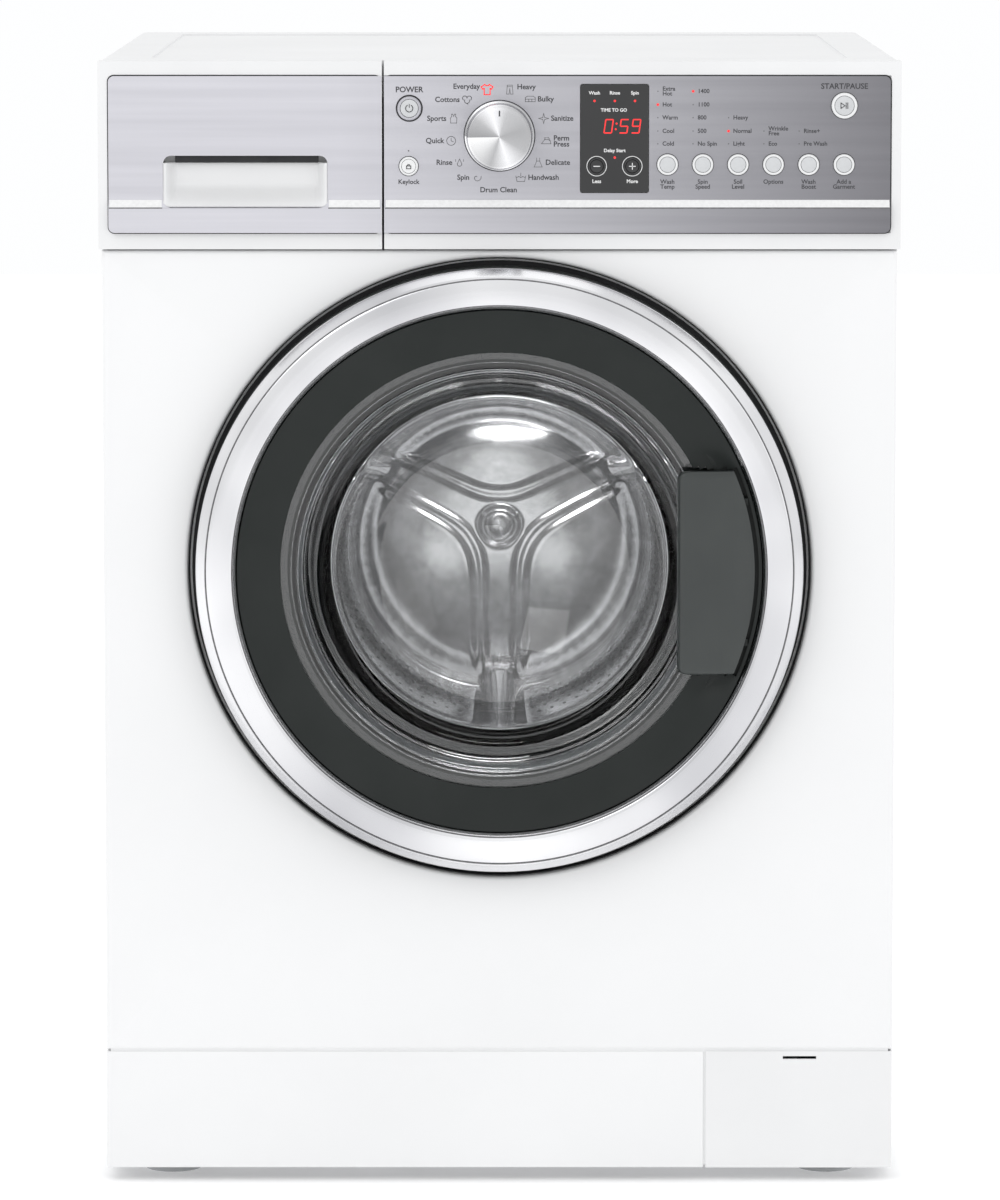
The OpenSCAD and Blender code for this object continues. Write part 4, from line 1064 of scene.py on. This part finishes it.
def outline_strip(name, x0, x1, body):
    """Painted shade: thin dark line in the gap round the silver skin."""
    z0, z1 = FASCIA_Z
    y = SKIN_Y + 0.75
    outer = rounded_rect(x0 - 0.9, x1 + 0.9, z0 - 0.9, z1 + 0.9, 5)
    inner = rounded_rect(x0 + 1, x1 - 1, z0 + 1, z1 - 1, 3.5)
    n = len(outer)
    verts = [(x, yy, z) for yy in (y, y + 0.6) for edge in (outer, inner) for x, z in edge]
    faces = []
    for j in range(n):
        k = (j + 1) % n
        faces += [(j, k, n + k, n + j), (2 * n + j, 3 * n + j, 3 * n + k, 2 * n + k),
                  (j, 2 * n + j, 2 * n + k, k), (n + j, n + k, 3 * n + k, 3 * n + j)]
    obj = mesh_object(name, verts, faces, PAINTED_SHADE, smooth=False)
    place(obj, body, "dark_plastic")


def ledge(name, x0, x1, body):
    """Painted highlight: a white strip on the sloping ledge, with a thin dark line of painted shade under it."""
    y, (z0, z1) = SKIN_Y - 0.2, LEDGE_Z
    side = [(y - 3.2, z0 + 0.5), (y - 0.25, z1), (y + 0.2, z1), (y - 2.7, z0 + 0.5)]
    verts = [(x, yy, z) for x in (x0, x1) for yy, z in side]
    faces = [(0, 1, 2, 3), (7, 6, 5, 4)] + [(j, 4 + j, 4 + (j + 1) % 4, (j + 1) % 4) for j in range(4)]
    # Painted highlight: the white strip along the slope.
    place(mesh_object(name, verts, faces, WHITE_INK, smooth=False), body, "silver_skin")
    # Painted shade: the dark stroke under the ledge stands for the shadow in the groove there.
    line = place(stroke([(x0, z0 - 0.1), (x1, z0 - 0.1)], 0.9, y - 3.02, UNLIT), body, "dark_plastic")
    line.name = name + "_line"


def drawer_scoop():
    """Finger scoop of the drawer: curved floor, flat back and a dark plate over it, painted shade in the hollow
    behind the lip.
    """
    x0, x1 = -251.3, -128.5
    z0, z1 = 741.0, 774.2
    cols, rows = 60, 30
    verts = []
    for i in range(rows + 1):
        z = z0 + (z1 - z0) * i / rows
        for j in range(cols + 1):
            x = x0 + (x1 - x0) * j / cols
            wall = ease(0, 8, x - x0) * ease(0, 8, x1 - x)
            floor = ease(-3, 17, z - z0)
            verts.append((x, SKIN_Y - 1.2 + 14.5 * floor * (0.12 + 0.88 * wall) * (0.86 + 0.14 * wall), z))
    scoop = mesh_object("drawer_scoop", verts, grid_faces(rows + 1, cols + 1, closed=False),
                        WHITE)
    thicken(scoop, 0.8, 1)
    tidy_normals(scoop)
    place(scoop, "drawer", "white_plastic")
    # Painted shade: dark plate in the hollow above the scoop.
    slot = prism("drawer_slot_shade", rounded_rect(x0 + 8.6, x1 - 6.8, z1 - 0.2, 779.4, 0.8),
                 SKIN_Y + 8, SKIN_Y + 9, PAINTED_SHADE)
    place(slot, "drawer", "dark_plastic")


refined("console_case", "console_housing", WHITE, 1.2)
refined("console_skin", "console_fascia", SILVER, 0.35, 2)
refined("drawer_case", "drawer_front", WHITE, 0.8)
skin("drawer_skin", -FASCIA_X - 0.2, high("drawer_front")[0] - 0.2,
     rounded_rect(-251.3, -128.5, LEDGE_Z[0] + 0.2, 779.6, 6), True)
outline_strip("drawer_outline", -FASCIA_X, high("drawer_front")[0] - 1.2, "drawer")
outline_strip("console_outline", low("console_fascia")[0] + 1.2, FASCIA_X, "cabinet")
ledge("drawer_ledge", -FASCIA_X + 0.6, -252.3, "drawer")
ledge("drawer_ledge_right", -127.5, high("drawer_front")[0] - 1.6, "drawer")
ledge("console_ledge", low("console_fascia")[0] + 1.2, FASCIA_X - 0.6, "cabinet")
drawer_scoop()
knob()
for option in ("wash_temp", "spin_speed", "soil_level", "options", "wash_boost", "add_garment"):
    button(option + "_button", 7.8, BUTTON_GREY, WHITE, "silver_skin")
button("power_button", 9, BUTTON_GREY, SILVER, "silver_skin", 1.1)
button("keylock_button", 7.1, WHITE, WHITE, "silver_skin")
button("start_button", 9.7, BUTTON_GREY, WHITE, "silver_skin")
button("delay_less_button", 6.6, BLACK, BLACK, "dark_plastic", 0.3)
button("delay_more_button", 6.6, BLACK, BLACK, "dark_plastic", 0.3)
display()
console_print()


# ---- Cabinet ----
def front_panel():
    """Painted front with a round recess for the door and softly bent outer edges."""
    x1, y_back = high("front_panel")[0], high("front_panel")[1]
    z0, z1 = low("front_panel")[2] - AXIS_Z, high("front_panel")[2] - AXIS_Z
    floor_y, wall_r, collar_r = FRONT_Y + 14, 234.4, 178
    inner = [(collar_r, y_back), (collar_r, floor_y + 1.2), (collar_r + 1.2, floor_y), (wall_r - 5, floor_y),
             (wall_r - 1.5, floor_y - 1.5), (wall_r, floor_y - 5), (wall_r, FRONT_Y + 3.2),
             (wall_r + 0.6, FRONT_Y + 1.2), (wall_r + 1.7, FRONT_Y + 0.3), (wall_r + 3.4, FRONT_Y)]
    bend = [(3.2, FRONT_Y), (1.5, FRONT_Y + 0.4), (0.4, FRONT_Y + 1.5), (0, FRONT_Y + 3.2), (0, y_back)]
    corners = [math.atan2(z, x) % (2 * math.pi) for x in (-x1, x1) for z in (z0, z1)]
    steps = 360
    angles = sorted([2 * math.pi * k / steps for k in range(steps)] + corners)
    verts = []
    for r, y in inner:
        verts += [(r * math.cos(a), y, r * math.sin(a)) for a in angles]
    for inset, y in bend:
        for a in angles:
            c, s = math.cos(a), math.sin(a)
            reach = min((x1 - inset) / max(abs(c), 1e-9),
                        ((z1 if s > 0 else -z0) - inset) / max(abs(s), 1e-9))
            verts.append((reach * c, y, reach * s))
    rows = len(inner) + len(bend)
    panel = mesh_object("front_sheet", verts, grid_faces(rows, len(angles)), ENAMEL,
                        (0, 0, AXIS_Z))
    sharpen(panel, 35)
    place(panel, "cabinet", "white_enamel", "front_panel")


def stretchy(name, node, z_still=None, z_moving=None):
    """Copy of a spring or hose between the cabinet and the tub, which stands for the CAD node."""
    obj = bpy.data.objects.new(name, nodes[node].data.copy())
    bpy.context.scene.collection.objects.link(obj)
    sharpen(obj, 50)
    zs = (low(node)[2] * MM, high(node)[2] * MM)
    if z_still is None:
        z_still, z_moving = zs if node == "sump_hose" else zs[::-1]
        z_still, z_moving = z_still * 0.85 + z_moving * 0.15, z_still * 0.15 + z_moving * 0.85
    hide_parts(node)
    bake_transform(obj)


def rear_screws():
    """Pan head screws round the service cover and along the panel edges."""
    x0, _, z0 = low("rear_cover")
    x1, y, z1 = high("rear_cover")
    inset = 9
    spots = [(x, z) for x in (x0 + inset, (x0 + x1) / 2, x1 - inset) for z in (z0 + inset, z1 - inset)]
    spots += [(x, (z0 + z1) / 2) for x in (x0 + inset, x1 - inset)]
    screws = []
    for x, z in spots:
        head = lathe("screw", [(0, y + 2.2), (2.5, y + 2.0), (4.1, y + 0.9), (4.3, y - 0.3), (0, y - 0.3)],
                     MATERIALS["zinc_steel"], 24, closed=False, at=(x, 0, z))
        # Painted shade: each head's cross recess is a dark stroke.
        cross = [stroke([(x - 1.8, z), (x + 1.8, z)], 0.7, y + 2.28, PAINTED_SHADE),
                 stroke([(x, z - 1.8), (x, z + 1.8)], 0.7, y + 2.28, PAINTED_SHADE)]
        screws += [head] + cross
    place(join("rear_screw_heads", screws), "cabinet", "zinc_steel")


def shadows():
    """Dark ring at the back of the door recess, and pale strips behind the panel seams."""
    y = FRONT_Y + 14
    ring = lathe("recess_shadow", [(214, y - 0.1), (234.2, y - 0.1), (234.2, FRONT_Y + 4), (233.6, FRONT_Y + 4),
                                   (233.2, y - 1), (214, y - 1)], PAINTED_SHADE, 192, radius=0.05)
    place(ring, "cabinet", "dark_plastic")
    z = high("kick_panel")[2]
    x = high("kick_panel")[0]
    strips = [prism("seam", [(x0, z0), (x1, z0), (x1, z1), (x0, z1)], FRONT_Y + 1.1, FRONT_Y + 1.8, WHITE)
              for x0, x1, z0, z1 in ((-BODY_X + 3, BODY_X - 3, z - 1, z + 2.2), (x - 1, x + 1.6, 12, z - 1))]
    place(join("seam_strips", strips), "cabinet", "white_plastic")
    fill = mesh_object("corner_return", [(x, y, h) for x in (BODY_X - 2, BODY_X - 0.2)
                                         for y in (FRONT_Y + 2.9, FRONT_Y + 21.4) for h in (20, z)],
                       [(0, 1, 3, 2), (4, 6, 7, 5), (0, 4, 5, 1), (2, 3, 7, 6), (0, 2, 6, 4), (1, 5, 7, 3)],
                       ENAMEL, smooth=False)
    bevel(fill, 0.4, 2)
    place(fill, "cabinet", "white_enamel")


shadows()
front_panel()
for name, node, kind, width in (
        ("top_cover", "worktop", "white_plastic", 1.6),
        ("side_sheet_left", "side_panel_left", "white_enamel", 0.9),
        ("side_sheet_right", "side_panel_right", "white_enamel", 0.9),
        ("kick_sheet", "kick_panel", "white_enamel", 0.9), ("flap_cover", "filter_flap", "white_plastic", 0.8),
        ("back_sheet", "rear_panel", "white_enamel", 0.6), ("service_cover", "rear_cover", "white_enamel", 0.9),
        ("foot_pads", "levelling_feet", "tub_plastic", 0.8)):
    refined(name, node, MATERIALS[kind], width)
stretchy("tub_springs", "suspension_springs", 0.79, 0.665)
stretchy("water_feed", "fill_hose")
stretchy("sump_bellows", "sump_hose")
rear_screws()
